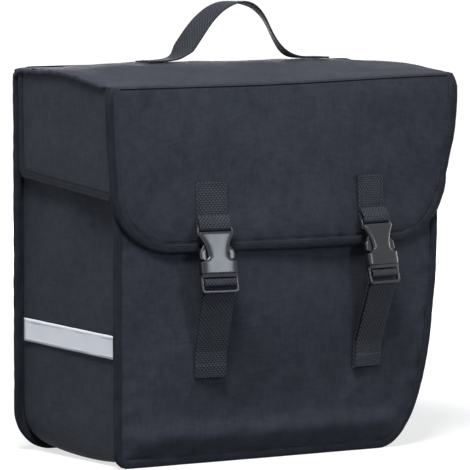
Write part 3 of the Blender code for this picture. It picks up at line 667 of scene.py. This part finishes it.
def pucker(seam):
    """Puckers die away from the seam: a falling exponential of the distance from it."""
    return np.exp(-np.maximum(seam, 0) / 0.018)


def face_grid(face, shares):
    """Grid over a face: these shares across from its left edge, and the distance from the nearer edge."""
    z = heights(face, INSET)[None, :]
    left, right = left_edge(face, INSET, z), right_edge(face, INSET, z)
    x = mix(left, right, shares)
    return x, z, np.minimum(x - left, right - x)


def front_panel():
    """Front: the swelling face with a puff behind the binding, slack waves, a roll low down and creases."""
    x, z, side = face_grid(FRONT, rows(141))
    seam = np.minimum(side, z - INSET) - COVER
    slack = ease(seam / 0.05)
    y = front_y(x, z) - puff(seam)
    y = y - 0.0020 * ripple(x, z, 3, 0.15) * slack - 0.0005 * ripple(x, z, 4, 0.055) * slack
    y = y - 0.0009 * ripple(x, z, 5, 0.028) * pucker(seam)
    y = y - 0.0052 * bell((z - 0.025) / 0.011) * ease(side / 0.03)
    for height, start, end, width in FRONT_CREASES:
        y = y - height * crease(x, z, start, end, width)
    cloth_panel("front_cloth", joined(x, y, z), "bag", "front_panel")


def side_panel(side, seed):
    """Side of the body: lofted front to back, swelling a little between its seams, its foot sagging."""
    edge, way = SIDES[side]
    front, back = heights(FRONT, FIN), heights(BACK, FIN)
    depth = rows(61, 1, 0) if side == "left" else rows(61)
    y = mix(-DEPTH + CLOTH, -CLOTH, depth)
    z = mix(front, back, depth)
    x = mix(edge(FRONT, FIN, front), edge(BACK, FIN, back), depth)
    belly = np.sin(math.pi * depth) * np.sin(math.pi * np.linspace(0, 1, len(front))) ** 0.7
    x = x + way * (0.0014 * belly + 0.0015 * ripple(y, z, seed, 0.11) * belly)
    z = z - BOTTOM_SAG * ease((0.060 - z) / 0.050) * np.sin(math.pi * depth) ** SAG_POWER
    cloth_panel(f"{side}_side_cloth", joined(x, y, z), "bag", f"{side}_side_panel")


def bottom_panel():
    """Bottom: flat between its four edges, sagging by a power of half a sine wave from front to back."""
    depth = rows(25)
    left = mix(FRONT["left"] + FRONT["corner"], BACK["left"] + BACK["corner"], depth)
    right = mix(FRONT["right"], BACK["right"], depth) - HEEL_WIDE
    x = mix(left, right, np.linspace(0, 1, 61))
    y = mix(-DEPTH + CLOTH, -CLOTH, depth)
    sag = BOTTOM_SAG - 0.0003 * np.abs(ripple(x, y, 21, 0.11))
    z = FIN - sag * np.sin(math.pi * depth) ** SAG_POWER
    cloth_panel("bottom_cloth", joined(x, y, z), "bag", "bottom_panel")


def back_panel():
    """Back: flat over its board, with a very slight wave."""
    x, z, side = face_grid(BACK, rows(81, 1, 0))
    y = -0.0002 * (1 + ripple(x, z, 31, 0.12)) * ease(np.minimum(side, z - INSET) / 0.04)
    cloth_panel("back_cloth", joined(x, y, z), "bag", "back_panel")


def down_and_up(right, left, z):
    """Down the right edge, along the bottom and up the left edge, at even steps."""
    return evenly(np.concatenate([joined(right, z)[::-1], joined(left, z)]), 0.004).T


def outline_path(face, inset):
    """The outline of a face, this far inside it."""
    z = heights(face, inset)
    return down_and_up(right_edge(face, inset, z), left_edge(face, inset, z), z)


def bound_seam(name, face, y, seed, node):
    """Binding tape: a rounded oblong carried along the middle of the seam's fin, a little wavy."""
    x, z = outline_path(face, LAP / 2)
    wave, jitter = 0.00035 * ripple(x, z, seed, 0.05), 0.0002 * ripple(x, z, seed + 90, 0.016)
    middle = joined(x + jitter, y + wave, z)
    tape = carry(middle, pill(LAP, 0.0054, 24, TAPE_ROUND), beside(middle, Y_WAY))
    lay(name, tape, "tape", "bag", node)
    x, z = outline_path(face, STITCH_LINE)
    for number, way in enumerate((-1, 1)):
        row = joined(x, y, z) + way * 0.0021 * Y_WAY
        stitches(f"{name}_stitches_{number + 1}", row, way * Y_WAY, "tape", "bag")


def reflective_strip(side):
    """Reflective tape sewn to the side panel, higher behind, with a row of stitches along both edges."""
    edge, way = SIDES[side]
    front, back = -DEPTH + CLOTH + STRIP_MARGIN, -CLOTH - STRIP_MARGIN

    def low(y):
        """The strip's lower edge: a straight slant."""
        return STRIP_LOW + STRIP_SLANT * (y - front) / (back - front)

    y = rows(41, back, front) if side == "left" else rows(41, front, back)
    z = low(y) + STRIP_TALL * np.linspace(0, 1, 13)
    x = side_edge(edge, y, z) + way * (STRIP_RISE + 0.0005 * ripple(y, 0.2 * z, 15, 0.026))
    strip = joined(x, y, z)
    lay(f"reflective_strip_{side}", strip, "reflective", "bag", f"reflector_{side}", wall=STRIP_THICK)
    y = np.linspace(front + 0.003, back - 0.003, 60)
    for number, level in enumerate((STRIP_SEAM, STRIP_TALL - STRIP_SEAM)):
        z = low(y) + level
        row = joined(side_edge(edge, y, z) + way * (STRIP_RISE + 0.0001), y, z)
        stitches(f"strip_stitches_{side}_{number + 1}", row, way * X_WAY, "reflective", "bag")


def stay_strap():
    """Flat webbing across the back that ties to the rack's stay, sewn down at its middle."""
    path = joined(np.linspace(-STAY_LENGTH / 2, STAY_LENGTH / 2, 60), GAP + WEBBING / 2, STAY_HEIGHT)
    band = carry(path, pill(STAY_WIDTH, WEBBING, 24, WEB_ROUND), Z_WAY)
    lay("stay_webbing", band, "webbing", "bag", "stay_strap")
    x, z = sewn_box(-BOX_HALF, BOX_HALF, STAY_HEIGHT - BOX_TALL, STAY_HEIGHT + BOX_TALL).T
    stitches("stay_stitches", joined(x, GAP + WEBBING, z), Y_WAY, "webbing", "bag")


def hinge_tape():
    """Tape over the lid's hinge: a rounded fold from the back panel to the lid, drawn out sideways."""
    half = LID_HALF - 0.0006
    out, rim, top = 0.0014, BACK["rim"], LID_BACK_HEIGHT
    fold = [(out, rim - 0.0134), (out, rim + 0.0030), (-0.0010, top + 0.0008), (-0.0100, top + 0.0010)]
    y, z = evenly(rounded(fold, 0.006), 0.0008).T
    x = rows(90, half, -half)
    z = z - 0.0030 * ease((np.abs(x) - half + 0.014) / 0.014) * ease((z - rim) / 0.004)
    piece = lay("hinge_binding", joined(x, y, z), "tape", None, "hinge_tape", wall=TAPE)
    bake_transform(piece)


# Lid

def lid_top():
    """Lid's top, rolled over at its front and side edges into the seams by a falling exponential."""
    y = LID_FRONT + (-GAP - LID_FRONT) * np.linspace(0, 1, 81) ** 1.25
    turn = 1 - np.clip((y - LID_FRONT) / LID_CORNER, 0, 1)
    half = LID_HALF - LID_CORNER * (1 - np.sqrt(1 - turn ** 2))
    x = half * rows(121, -1, 1)
    seam = np.minimum(np.minimum(half - np.abs(x), y - LID_FRONT), 0.08)
    z = lid_z(x, y) - 0.0020 * np.exp(-seam / 0.004)
    z = z - LID_DIP * (1 - (x / LID_HALF) ** 2) * np.exp((LID_FRONT - y) / 0.02)
    z = z + lid_shoulder(x, y)
    z = z + (0.0011 * ripple(x, y, 41, 0.12) + 0.0004 * ripple(x, y, 42, 0.04)) * ease(seam / 0.03)
    cloth_panel("lid_top_cloth", joined(x, y, z), "lid", "lid_top")


def lid_edge_roll():
    """The folded seam round three edges of the lid's top, crumpled on the left, and in front a dark line of
    painted shade.
    """
    half, front = LID_HALF - 0.0004, LID_FRONT + 0.0008
    left = joined(-half, np.linspace(-0.002, front + 0.012, 60))
    right = left[::-1] * np.array((-1.0, 1.0))
    edges = np.concatenate([left, [(-half, front), (half, front)], right])
    x, y = evenly(rounded(edges, 0.007), 0.0018).T
    crumple = mix(0.2, 1.0, ease((0.05 - x) / 0.10))
    z = lid_z(x, y) + lid_shoulder(x, y) - 0.0026 - LID_DIP * (1 - (x / LID_HALF) ** 2)
    z = z + crumple * (0.0008 * ripple(x, y, 81, 0.020) + 0.0004 * ripple(x, y, 82, 0.009))
    path = joined(x, y, z - 0.0045 * ease((y + 0.012) / 0.010) ** 2)
    slim = 1 - 0.55 * ease((front + 0.020 - y) / 0.016)
    slim = slim * (1 + crumple * (0.05 + 0.24 * ripple(x, y, 83, 0.011)))
    roll = carry(path, pill(0.0040, 0.0040, 16, FOLD_ROUND), beside(path, Z_WAY), slim, slim)
    lay("lid_edge_fold", roll, "cloth", "lid")
    # A near-black tube along the lid's front crease, in the seam finish: painted shade where the lid meets
    # the flap.
    x = np.linspace(-0.172, 0.172, 120)
    z = np.full_like(x, FLAP_TOP - 0.0022)
    line = joined(x, flap_face(x, z) + 0.0001, z + flap_lift(x, z))
    shade_line = carry(line, pill(0.0012, 0.0009, 10, FOLD_ROUND), Z_WAY)
    lay("lid_front_seam_shade", shade_line, "tape", "lid", finish="seam")


def flap_face(x, z):
    """Flap's outer face with its puff behind the binding, soft dents and the pull of the straps."""
    level = np.clip(z, FLAP_HEM + INSET, None)
    half = np.where(x < 0, flap_half(-1, INSET, level), flap_half(1, INSET, level))
    seam = np.minimum(half - np.abs(x), z - FLAP_HEM - INSET) - COVER
    below = LID_FRONT_HEIGHT - z
    y = flap_y(x, z) - puff(np.minimum(seam, below), 0.0030)
    dents = 0.0017 * ripple(x, z, 51, 0.13) + 0.0005 * ripple(x, z, 53, 0.05)
    y = y - dents * ease(seam / 0.04) * ease(below / 0.03)
    y = y - 0.0007 * ripple(x, z, 52, 0.026) * pucker(seam)
    return y + 0.0016 * (bell((np.abs(x) - STRAP_X) / 0.030) * ease((0.270 - z) / 0.04))


def lid_flap():
    """Flap: even steps across between its two edges, on its outer face."""
    z = flap_heights(INSET)[None, :]
    x = mix(-flap_half(-1, INSET, z), flap_half(1, INSET, z), rows(141))
    points = joined(x, flap_face(x, z), z + flap_lift(x, z))
    cloth_panel("flap_cloth", points, "lid", "lid_flap")


def flap_path(inset):
    """The flap's outline, this far inside it."""
    z = flap_heights(inset)
    return down_and_up(flap_half(1, inset, z), -flap_half(-1, inset, z), z)


def flap_binding():
    """Binding round the flap, slimmer and bent inwards at its two upper ends, and two rows of stitches."""
    x, z = flap_path(LAP / 2)
    end = ease((z - FLAP_TOP + 0.016) / 0.016)
    y = flap_y(x, z) + CLOTH / 2 + 0.0003 * ripple(x, z, 61, 0.05) + 0.0004 * ripple(x, z, 62, 0.013)
    middle = joined(x, y + 0.0034 * end ** 2, z + (flap_lift(x, z) - 0.0012 * end ** 2))
    section = pill(LAP, 0.0052, 24, TAPE_ROUND)
    tape = carry(middle, section, beside(middle, Y_WAY), 1 - 0.30 * end, 1 - 0.35 * end)
    lay("flap_edge_tape", tape, "tape", "lid", "flap_binding")
    x, z = flap_path(STITCH_LINE)
    row = joined(x, flap_y(x, z) - 0.0013, z + flap_lift(x, z))
    stitches("flap_edge_stitches", row, -Y_WAY, "tape", "lid")
    x, z = flap_path(LAP + 0.0030)
    row = joined(x, flap_face(x, z) - 0.0001, z + flap_lift(x, z))
    stitches("flap_hem_stitches", row, -Y_WAY, "tape", "lid", 0.0036, 0.0026, 0.0006)


def lid_gusset(side, seed):
    """Side wall of the lid, swelling a little, with a hem band below and a bound edge behind."""
    way = SIDES[side][1]
    order = slice(None, None, -way)
    y = np.linspace(GUSSET_BACK - 0.001, GUSSET_FRONT, 81)[order][:, None]
    up = np.linspace(0, 1, 49)
    top = lid_edge_z(y) + lid_shoulder(way * LID_HALF, y) - CLOTH - 3 * GAP
    z = mix(gusset_hem(y) + 0.001, top, up)
    belly = np.sin(math.pi * up) * np.sin(math.pi * (y - GUSSET_BACK) / (GUSSET_FRONT - GUSSET_BACK))
    x = way * (gusset_x(way, y, z) + (0.0008 + 0.0012 * ripple(y, z, seed, 0.08)) * belly)
    cloth_panel(f"lid_side_cloth_{side}", joined(x, y, z), "lid", f"lid_gusset_{side}")

    mid = HEM_BAND / 2
    behind = GUSSET_BACK - mid * 0.8
    corner = [(GUSSET_FRONT, gusset_hem(GUSSET_FRONT) + mid), (behind, GUSSET_HEM_BACK + mid),
              (behind, lid_edge_z(0.0) - CLOTH - 4 * GAP)]
    y, z = evenly(rounded(corner, 0.006), 0.003)[order].T
    middle = joined(way * (gusset_x(way, y, z) - CLOTH / 2), y, z)
    wide = mix(HEM_BAND, LAP, ease((z - GUSSET_HEM_BACK - 2 * mid) / 0.004))
    tape = carry(middle, pill(1.0, 0.0040, 24), beside(middle, X_WAY), wide=wide)
    lay(f"lid_side_tape_{side}", tape, "tape", "lid", f"gusset_binding_{side}")
    y = np.linspace(GUSSET_FRONT + 0.002, GUSSET_BACK - 0.004, 60)
    for number, shift in enumerate((0.0018, HEM_BAND - 0.0016)):
        z = gusset_hem(y) + shift
        row = joined(way * (gusset_x(way, y, z) + 0.0012), y, z)
        stitches(f"lid_side_stitches_{side}_{number + 1}", row, way * X_WAY, "tape", "lid")


# Handle

def handle():
    """Webbing arch sewn to the lid at both ends, with its loop between them.

    Its path is evened out by moving each inner point to a quarter, half, quarter mean.
    """
    back, left, right = HANDLE_BACK, HANDLE_LEFT_END, HANDLE_RIGHT_END
    slope = math.atan2(lid_z(0.0, back + 0.001) - lid_z(0.0, back - 0.001), 0.002)
    base = float(lid_z(0.0, back))
    foot = np.array((0.0, back, base))
    up = np.array((0.0, -math.sin(slope), math.cos(slope)))
    across = np.array((0.0, math.cos(slope), math.sin(slope)))
    arch = [(a * (left if a < 0 else right), b * HANDLE_RISE) for a, b in HANDLE_ARCH]
    flat = [(-left + 0.013, 0.0), (-0.0750, 0.0), *arch, (0.084, 0.0), (right + 0.003, 0.0)]
    path = evenly(rounded(flat, 0.02), 0.002)
    for _ in range(14):
        path[1:-1] = (path[:-2] + 2 * path[1:-1] + path[2:]) / 4
    x, height = path.T
    rise = height + lid_z(x, back) - base + WEBBING / 2 + 2 * GAP
    middle = x[:, None] * X_WAY + foot + rise[:, None] * up
    way = np.gradient(path, axis=0)
    steep = np.abs(way[:, 1]) / np.linalg.norm(way, axis=-1)
    lean = HANDLE_LEAN * ease((height - 0.002) / 0.010)
    twist = mix(lean, HANDLE_TWIST * steep ** 1.2, ease((x + 0.005) / 0.035))
    turned = np.cos(twist)[:, None] * across + np.sin(twist)[:, None] * X_WAY
    wide = 1 - 0.10 * ease((height - 0.02) / 0.03)
    band = carry(middle, pill(HANDLE_WIDTH, WEBBING * 1.15, 28, WEB_ROUND), turned, wide=wide)
    nodes = "handle_end_left", "handle_end_right", "handle_loop"
    piece = lay("handle_webbing", band, "webbing", None, *nodes)
    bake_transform(piece)
    for name, start, stop in (("left", -left + 0.016, -0.064), ("right", 0.081, right)):
        box = sewn_box(start, stop, -BOX_TALL, BOX_TALL)
        lift = lid_z(box[:, 0], back) - base + WEBBING + 2 * GAP + 0.0001
        row = box[:, :1] * X_WAY + foot + lift[:, None] * up + box[:, 1:] * across
        stitches(f"handle_stitches_{name}", row, up, "webbing", "lid")


# Closing straps and buckles

STRAP_TURN = math.atan2(float(flap_y(STRAP_X + 0.001, FLAP_HEM) - flap_y(STRAP_X - 0.001, FLAP_HEM)), 0.002)
STATION_Y = float(flap_y(STRAP_X, FLAP_HEM))


def at_station(points, sign):
    """Points of a strap's own frame, turned about Z to face the way the cloth does, in the bag's frame."""
    turn = sign * STRAP_TURN
    x = points[..., 0] * math.cos(turn) - points[..., 1] * math.sin(turn) + sign * STRAP_X
    y = points[..., 0] * math.sin(turn) + points[..., 1] * math.cos(turn) + STATION_Y
    return joined(x, y, points[..., 2])


def in_buckle(out, along):
    """A point of the tilted buckle in the strap's frame: distance outwards, and up from its mouth."""
    y = -BUCKLE_STANDOFF - out * math.cos(BUCKLE_TILT) + along * math.sin(BUCKLE_TILT)
    return y, BUCKLE_HEIGHT + out * math.sin(BUCKLE_TILT) + along * math.cos(BUCKLE_TILT)


def at_buckle(points, sign):
    """Points across, outwards and along the buckle, in the bag's frame."""
    return at_station(joined(points[..., 0], *in_buckle(points[..., 1], points[..., 2])), sign)


def over_cloth(face, sign, z, out=0.0):
    """A point of the strap's middle line, just clear of the cloth over the strap's whole width."""
    dx = np.array((-0.5, 0.0, 0.5)) * STRAP_WIDTH
    highest = np.min(face(sign * (STRAP_X + dx), np.full(3, z)) - math.tan(STRAP_TURN) * dx)
    return highest - STATION_Y - STRAP_EASE - WEBBING / 2 - out, z


def strap_band(path, sign, thick=1.0):
    """Webbing carried along a path of the strap's frame, in the bag's frame."""
    section = pill(STRAP_WIDTH, WEBBING, 28, WEB_ROUND)
    return at_station(carry(joined(0.0, *path.T), section, X_WAY, thick), sign)


def upper_strap(side, sign):
    """Upper webbing: sewn to the flap, down round the socket's bar and back up under its own end."""
    on_flap = partial(over_cloth, flap_y, sign)
    low = SOCKET_BAR - BAR_LOOP
    middle = mix(STRAP_FOLD, BUCKLE_HEIGHT + SOCKET_BAR, 0.5)
    top, fold = on_flap(STRAP_TOP, 0.0012), on_flap(STRAP_FOLD, 0.0008)
    route = [top, fold, on_flap(middle), in_buckle(-BAR_LOOP, low), in_buckle(BAR_LOOP, low),
             in_buckle(BAR_LOOP, SOCKET_BAR + BAR), on_flap(STRAP_FOLD, 2 * WEBBING)]
    band = strap_band(evenly(rounded(route, BAR_LOOP), STRAP_STEP), sign)
    lay(f"upper_webbing_{side}", band, "webbing", "lid", f"upper_strap_{side}")
    x, z = sewn_box(-BOX_HALF, BOX_HALF, *STRAP_BOX, 5).T
    lift = np.interp(z, (STRAP_FOLD, STRAP_TOP), (fold[0], top[0]))
    row = at_station(joined(x, lift - WEBBING / 2, z), sign)
    stitches(f"upper_stitches_{side}", row, -Y_WAY, "webbing", "lid")


def lower_strap(side, sign):
    """Lower webbing: from its anchor on the panel, up through the plug's ladder, and its tail down again."""
    on_panel = partial(over_cloth, front_y, sign)
    rise, fall = PLUG_BAR + BAR_LOOP, PLUG_BAR - BAR_LOOP
    tail = -RAIL / 2 - 3 * GAP - WEBBING / 2
    load = tail - WEBBING - 2 * GAP
    route = [on_panel(STRAP_ANCHOR + 0.014, 0.002), on_panel(mix(STRAP_ANCHOR, STRAP_LIFT, 0.6), 0.002),
             on_panel(STRAP_LIFT, 0.002), in_buckle(load, PLUG_END), in_buckle(load, rise),
             in_buckle(BAR_LOOP, rise), in_buckle(BAR_LOOP, fall), in_buckle(mix(tail, BAR_LOOP, 0.5), fall),
             in_buckle(tail, fall), in_buckle(tail, PLUG_END - RAIL), on_panel(STRAP_LIFT, 4 * WEBBING),
             on_panel(TAIL_END + 0.004, 3 * WEBBING)]
    path = evenly(rounded(route, BAR_LOOP), STRAP_STEP)
    run = np.linspace(0, len(path) * STRAP_STEP, len(path))
    doubled = 1 + 0.9 * ease((run - run[-1] + 0.012) / 0.002)
    band = strap_band(path, sign, doubled)
    piece = lay(f"lower_webbing_{side}", band, "webbing", None, f"lower_strap_{side}")
    foot = at_station(np.array((0.0, *on_panel(0.082))), sign)
    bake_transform(piece)


def socket_half(along):
    """Half width of the socket: full at the mouth and lip, scooped by two arcs at the waist."""
    fall = np.sqrt(np.clip((along - COLLAR) / 0.0042, 0, 1))
    rise = np.clip((along - COLLAR - 0.0060) / (SOCKET_LENGTH - COLLAR - 0.0066), 0, 1) ** 1.7
    return BUCKLE_HALF - (BUCKLE_HALF - WAIST_HALF - 0.0008) * (fall - rise)


def buckle_loft(name, sign, stations, body, *nodes, count=48, power=5.0, middle=0.0):
    """Superellipse sections, each given as half width, half thickness and place along, about a middle."""
    ring = pill(2.0, 2.0, count, power)
    wide, thick, along = np.array(stations, float).T[..., None]
    points = at_buckle(joined(middle + ring[:, 0] * wide, ring[:, 1] * thick, along), sign)
    lay(name, points, "plastic", body, *nodes)


def buckle_bar(name, sign, path, size, body):
    """A moulded bar: a rounded section carried along a path in the buckle's plane."""
    x, along = evenly(np.array(path, float), 0.0008).T
    middle = joined(x, 0.0, along)
    bar = carry(middle, pill(*size, 16, 3.0), beside(middle, Y_WAY))
    lay(name, at_buckle(bar, sign), "plastic", body)


def socket(side, sign):
    """Socket: a pocket at its mouth, a scooped shell, a lip, and the bar that holds the upper webbing."""
    deep, half, length = BUCKLE_DEEP, BUCKLE_HALF, SOCKET_LENGTH
    along = np.linspace(0.0006, length - 0.0006, 60)
    dome = deep * (1 - 0.10 * ((along / length - 0.4) / 0.6) ** 2)
    wide = half - COLLAR_WALL
    pocket = [(wide * 0.98, 0.0027, COLLAR * 0.8), (wide, 0.0028, 0.0004), (wide + 0.0006, 0.0032, 0.0),
              (half - 0.0006, deep - 0.0006, 0.0)]
    lip = [(half - 0.0002, deep * 0.86, length + 0.0010), (half - 0.0010, deep * 0.74, length + 0.0016)]
    shell = [*pocket, *joined(socket_half(along), dome, along), *lip]
    buckle_loft(f"socket_shell_{side}", sign, shell, "lid", f"buckle_socket_{side}")
    arm, start = STRAP_WIDTH / 2 + GAP + 0.0009, length - 0.002
    loop = rounded([(-arm, start), (-arm, SOCKET_BAR), (arm, SOCKET_BAR), (arm, start)], 0.002)
    buckle_bar(f"socket_loop_{side}", sign, loop, (BAR * 0.85, BAR), "lid")


def plug(side, sign):
    """Plug: a shoulder against the socket's mouth, the ladder for the lower webbing, a tongue and prongs."""
    body, deep, half, thick = f"plug_{side}", BUCKLE_DEEP, BUCKLE_HALF, PRONG_THICK
    shoulder = [(half - 0.0005, deep * 0.70, -SHOULDER), (half, deep * 0.92, -SHOULDER * 0.7),
                (half, deep, -GAP - 0.0004), (half - 0.0004, deep - 0.0004, -GAP)]
    buckle_loft(f"plug_shoulder_{side}", sign, shoulder, body, f"buckle_plug_{side}")
    rail, start = STRAP_WIDTH / 2 + GAP + 0.0012, -SHOULDER * 0.6
    ladder = rounded([(-rail, start), (-rail, LADDER_FOOT), (rail, LADDER_FOOT), (rail, start)], 0.0022)
    buckle_bar(f"plug_ladder_{side}", sign, ladder, (0.0027, RAIL), body)
    buckle_bar(f"plug_bar_{side}", sign, [(-rail, PLUG_BAR), (rail, PLUG_BAR)], (BAR, BAR), body)
    tongue = [(TONGUE_HALF, thick / 2, -SHOULDER / 2), (TONGUE_HALF, thick / 2, 0.018),
              (TONGUE_HALF * 0.7, thick / 2.4, 0.0235), (TONGUE_HALF * 0.3, thick / 4, 0.025)]
    buckle_loft(f"plug_tongue_{side}", sign, tongue, body, power=3.5)
    for hand, (_, way) in SIDES.items():
        prong(f"prong_{side}_{hand}", sign, way)


def prong(name, sign, way):
    """Spring prong: a slim arm that widens into a rounded thumb button and tapers to its tip."""
    arm = BUCKLE_HALF - COLLAR_WALL - 2 * GAP
    along = np.linspace(GAP, PRONG_LENGTH - 0.0005, 60)
    step = COLLAR + 0.0016
    button = ease((along - step + 0.0004) / 0.0018)
    taper = ease((along - step - 0.006) / 0.0090)
    outside = mix(mix(PRONG_ROOT + 0.0015, arm, ease(along / 0.008)), PRONG_REACH, button)
    outside = mix(outside, PRONG_ROOT + 0.0025, taper)
    inside = mix(mix(PRONG_ROOT - 0.0015, arm - 0.0030, ease(along / 0.009)), PRONG_ROOT, taper)
    thick = PRONG_THICK / 2 * (1 - 0.5 * ease((along - 0.020) / 0.0065))
    middle = way * (outside + inside) / 2
    stations = joined((outside - inside) / 2, thick, along)
    buckle_loft(f"button_{name}", sign, stations, name, name, count=28, power=4.0, middle=middle[:, None])


# CAD pieces that keep their own shape

def finish_fittings():
    """Rack hooks, their rivets and plates, and the boards: the first word that fits gives the finish."""
    kinds = {"rack": "plastic", "hook": "steel", "board": "board"}
    for name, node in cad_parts.items():
        fitting = [kinds[word] for word in name.split("_") if word in kinds]
        if fitting:
            node.data.materials.clear()
            node.data.materials.append(FINISHES[fitting[0]])


# Studio

def area_light(name, place, aim, size, power, color=WHITE):
    """A soft rectangular lamp at a place, aimed at a point."""
    lamp = bpy.data.lights.new(name, "AREA")
    lamp.shape = "RECTANGLE"
    lamp.size, lamp.size_y = size
    lamp.energy = power
    lamp.color = color
    made = bpy.data.objects.new(name, lamp)
    made.location = place
    made.rotation_euler = (Vector(aim) - Vector(place)).to_track_quat("-Z", "Y").to_euler()
    bpy.context.scene.collection.objects.link(made)


def lamps():
    """A key from above, fills behind and at both sides, and a small lamp that shines on the buckles."""
    area_light("key", (-1.3, -1.5, 3.2), (0, -0.08, 0.24), (1.1, 1.1), 165)
    area_light("rear", (0.9, 2.4, 0.45), (0, 0, 0.18), (1.4, 0.7), 40)
    area_light("side", (-2.6, -0.3, 0.9), (-0.18, -0.08, 0.2), (1.0, 1.0), 9, (0.74, 0.87, 1.0))
    area_light("heel_side", (2.6, 0.5, 0.5), (0.18, -0.08, 0.2), (1.2, 1.2), 26)
    area_light("buckle_glint", (0.55, -2.10, 0.93), (-0.084, -0.19, 0.18), (0.45, 0.55), 14,
               (0.84, 0.91, 1.0))


def shown_rays(tree):
    """One where a ray comes from the camera, a reflection or glass; zero for rays that light the bag."""
    path = tree.nodes.new("ShaderNodeLightPath").outputs
    mirrored = math_node(tree, "MAXIMUM", path["Is Glossy Ray"], path["Is Transmission Ray"])
    return math_node(tree, "MAXIMUM", path["Is Camera Ray"], mirrored)


def backdrop():
    """A dim even sky that shows as white."""
    world = bpy.data.worlds.new("studio")
    bpy.context.scene.world = world
    world.use_nodes = True
    tree = world.node_tree
    sky = blend_colors(tree, shown_rays(tree), (0.12, 0.125, 0.14), WHITE)
    feed(tree, tree.nodes["Background"].inputs, {"Color": sky, "Strength": 1.0})


def pale_floor():
    """A wide floor that keeps the bag's shadow and glows up to white with the distance from the bag."""
    span = 40.0
    corners = [(-span, -span, 0), (span, -span, 0), (span, span, 0), (-span, span, 0)]
    mesh = bpy.data.meshes.new("floor")
    mesh.from_pydata(corners, [], [(0, 1, 2, 3)])
    floor = bpy.data.objects.new("floor", mesh)
    bpy.context.scene.collection.objects.link(floor)
    made = bpy.data.materials.new("pale_floor")
    made.use_nodes = True
    mesh.materials.append(made)
    tree = made.node_tree
    seen = shown_rays(tree)
    place = tree.nodes.new("ShaderNodeTexCoord").outputs["Object"]
    far = shader_node(tree, "ShaderNodeVectorMath", {0: place}, operation="LENGTH")["Value"]
    reach = {"Value": far, "From Min": 0.4, "From Max": 1.8, "To Min": 0.68, "To Max": 1.0}
    fade = shader_node(tree, "ShaderNodeMapRange", reach, interpolation_type="SMOOTHSTEP")[0]
    coat(made, {"Base Color": blend_colors(tree, seen, (0.14, 0.14, 0.15), (0.35, 0.35, 0.35)),
                "Roughness": 0.9, "Specular IOR Level": 0.0, "Emission Color": WHITE,
                "Emission Strength": math_node(tree, "MULTIPLY", seen, fade)})


def camera():
    """The photograph's camera: turned and raised round the bag, aimed so that the bag sits as framed."""
    level = math.cos(RAISE)
    back = Vector((-math.sin(TURN) * level, -math.cos(TURN) * level, math.sin(RAISE)))
    right = Vector((math.cos(TURN), -math.sin(TURN), 0.0))
    up = back.cross(right)
    lens = bpy.data.cameras.new("camera")
    lens.sensor_width = 36.0
    lens.lens = LENS_PIXELS / FRAME_PIXELS * lens.sensor_width
    lens.clip_end = 100.0
    made = bpy.data.objects.new("camera", lens)
    made.location = Vector(AIM_POINT) + back * DISTANCE
    gaze = -back - right * (AIM_PIXELS[0] / LENS_PIXELS) + up * (AIM_PIXELS[1] / LENS_PIXELS)
    made.rotation_euler = gaze.to_track_quat("-Z", "Y").to_euler()
    bpy.context.scene.collection.objects.link(made)
    bpy.context.scene.camera = made


front_panel()
for hand, waves, cut, lid_waves in (("left", 11, 0.350, 71), ("right", 12, 0.390, 72)):
    side_panel(hand, waves)
    reflective_strip(hand)
    lid_gusset(hand, lid_waves)
bottom_panel()
back_panel()
bound_seam("front_seam_tape", FRONT, -DEPTH + CLOTH / 2, 7, "front_binding")
bound_seam("back_seam_tape", BACK, -CLOTH / 2, 8, "back_binding")
stay_strap()
hinge_tape()
lid_top()
lid_edge_roll()
lid_flap()
flap_binding()
handle()
for hand, (_, way) in SIDES.items():
    upper_strap(hand, way)
    lower_strap(hand, way)
    socket(hand, way)
    plug(hand, way)
finish_fittings()
backdrop()
pale_floor()
lamps()
camera()
bpy.context.scene.view_settings.view_transform = "Standard"
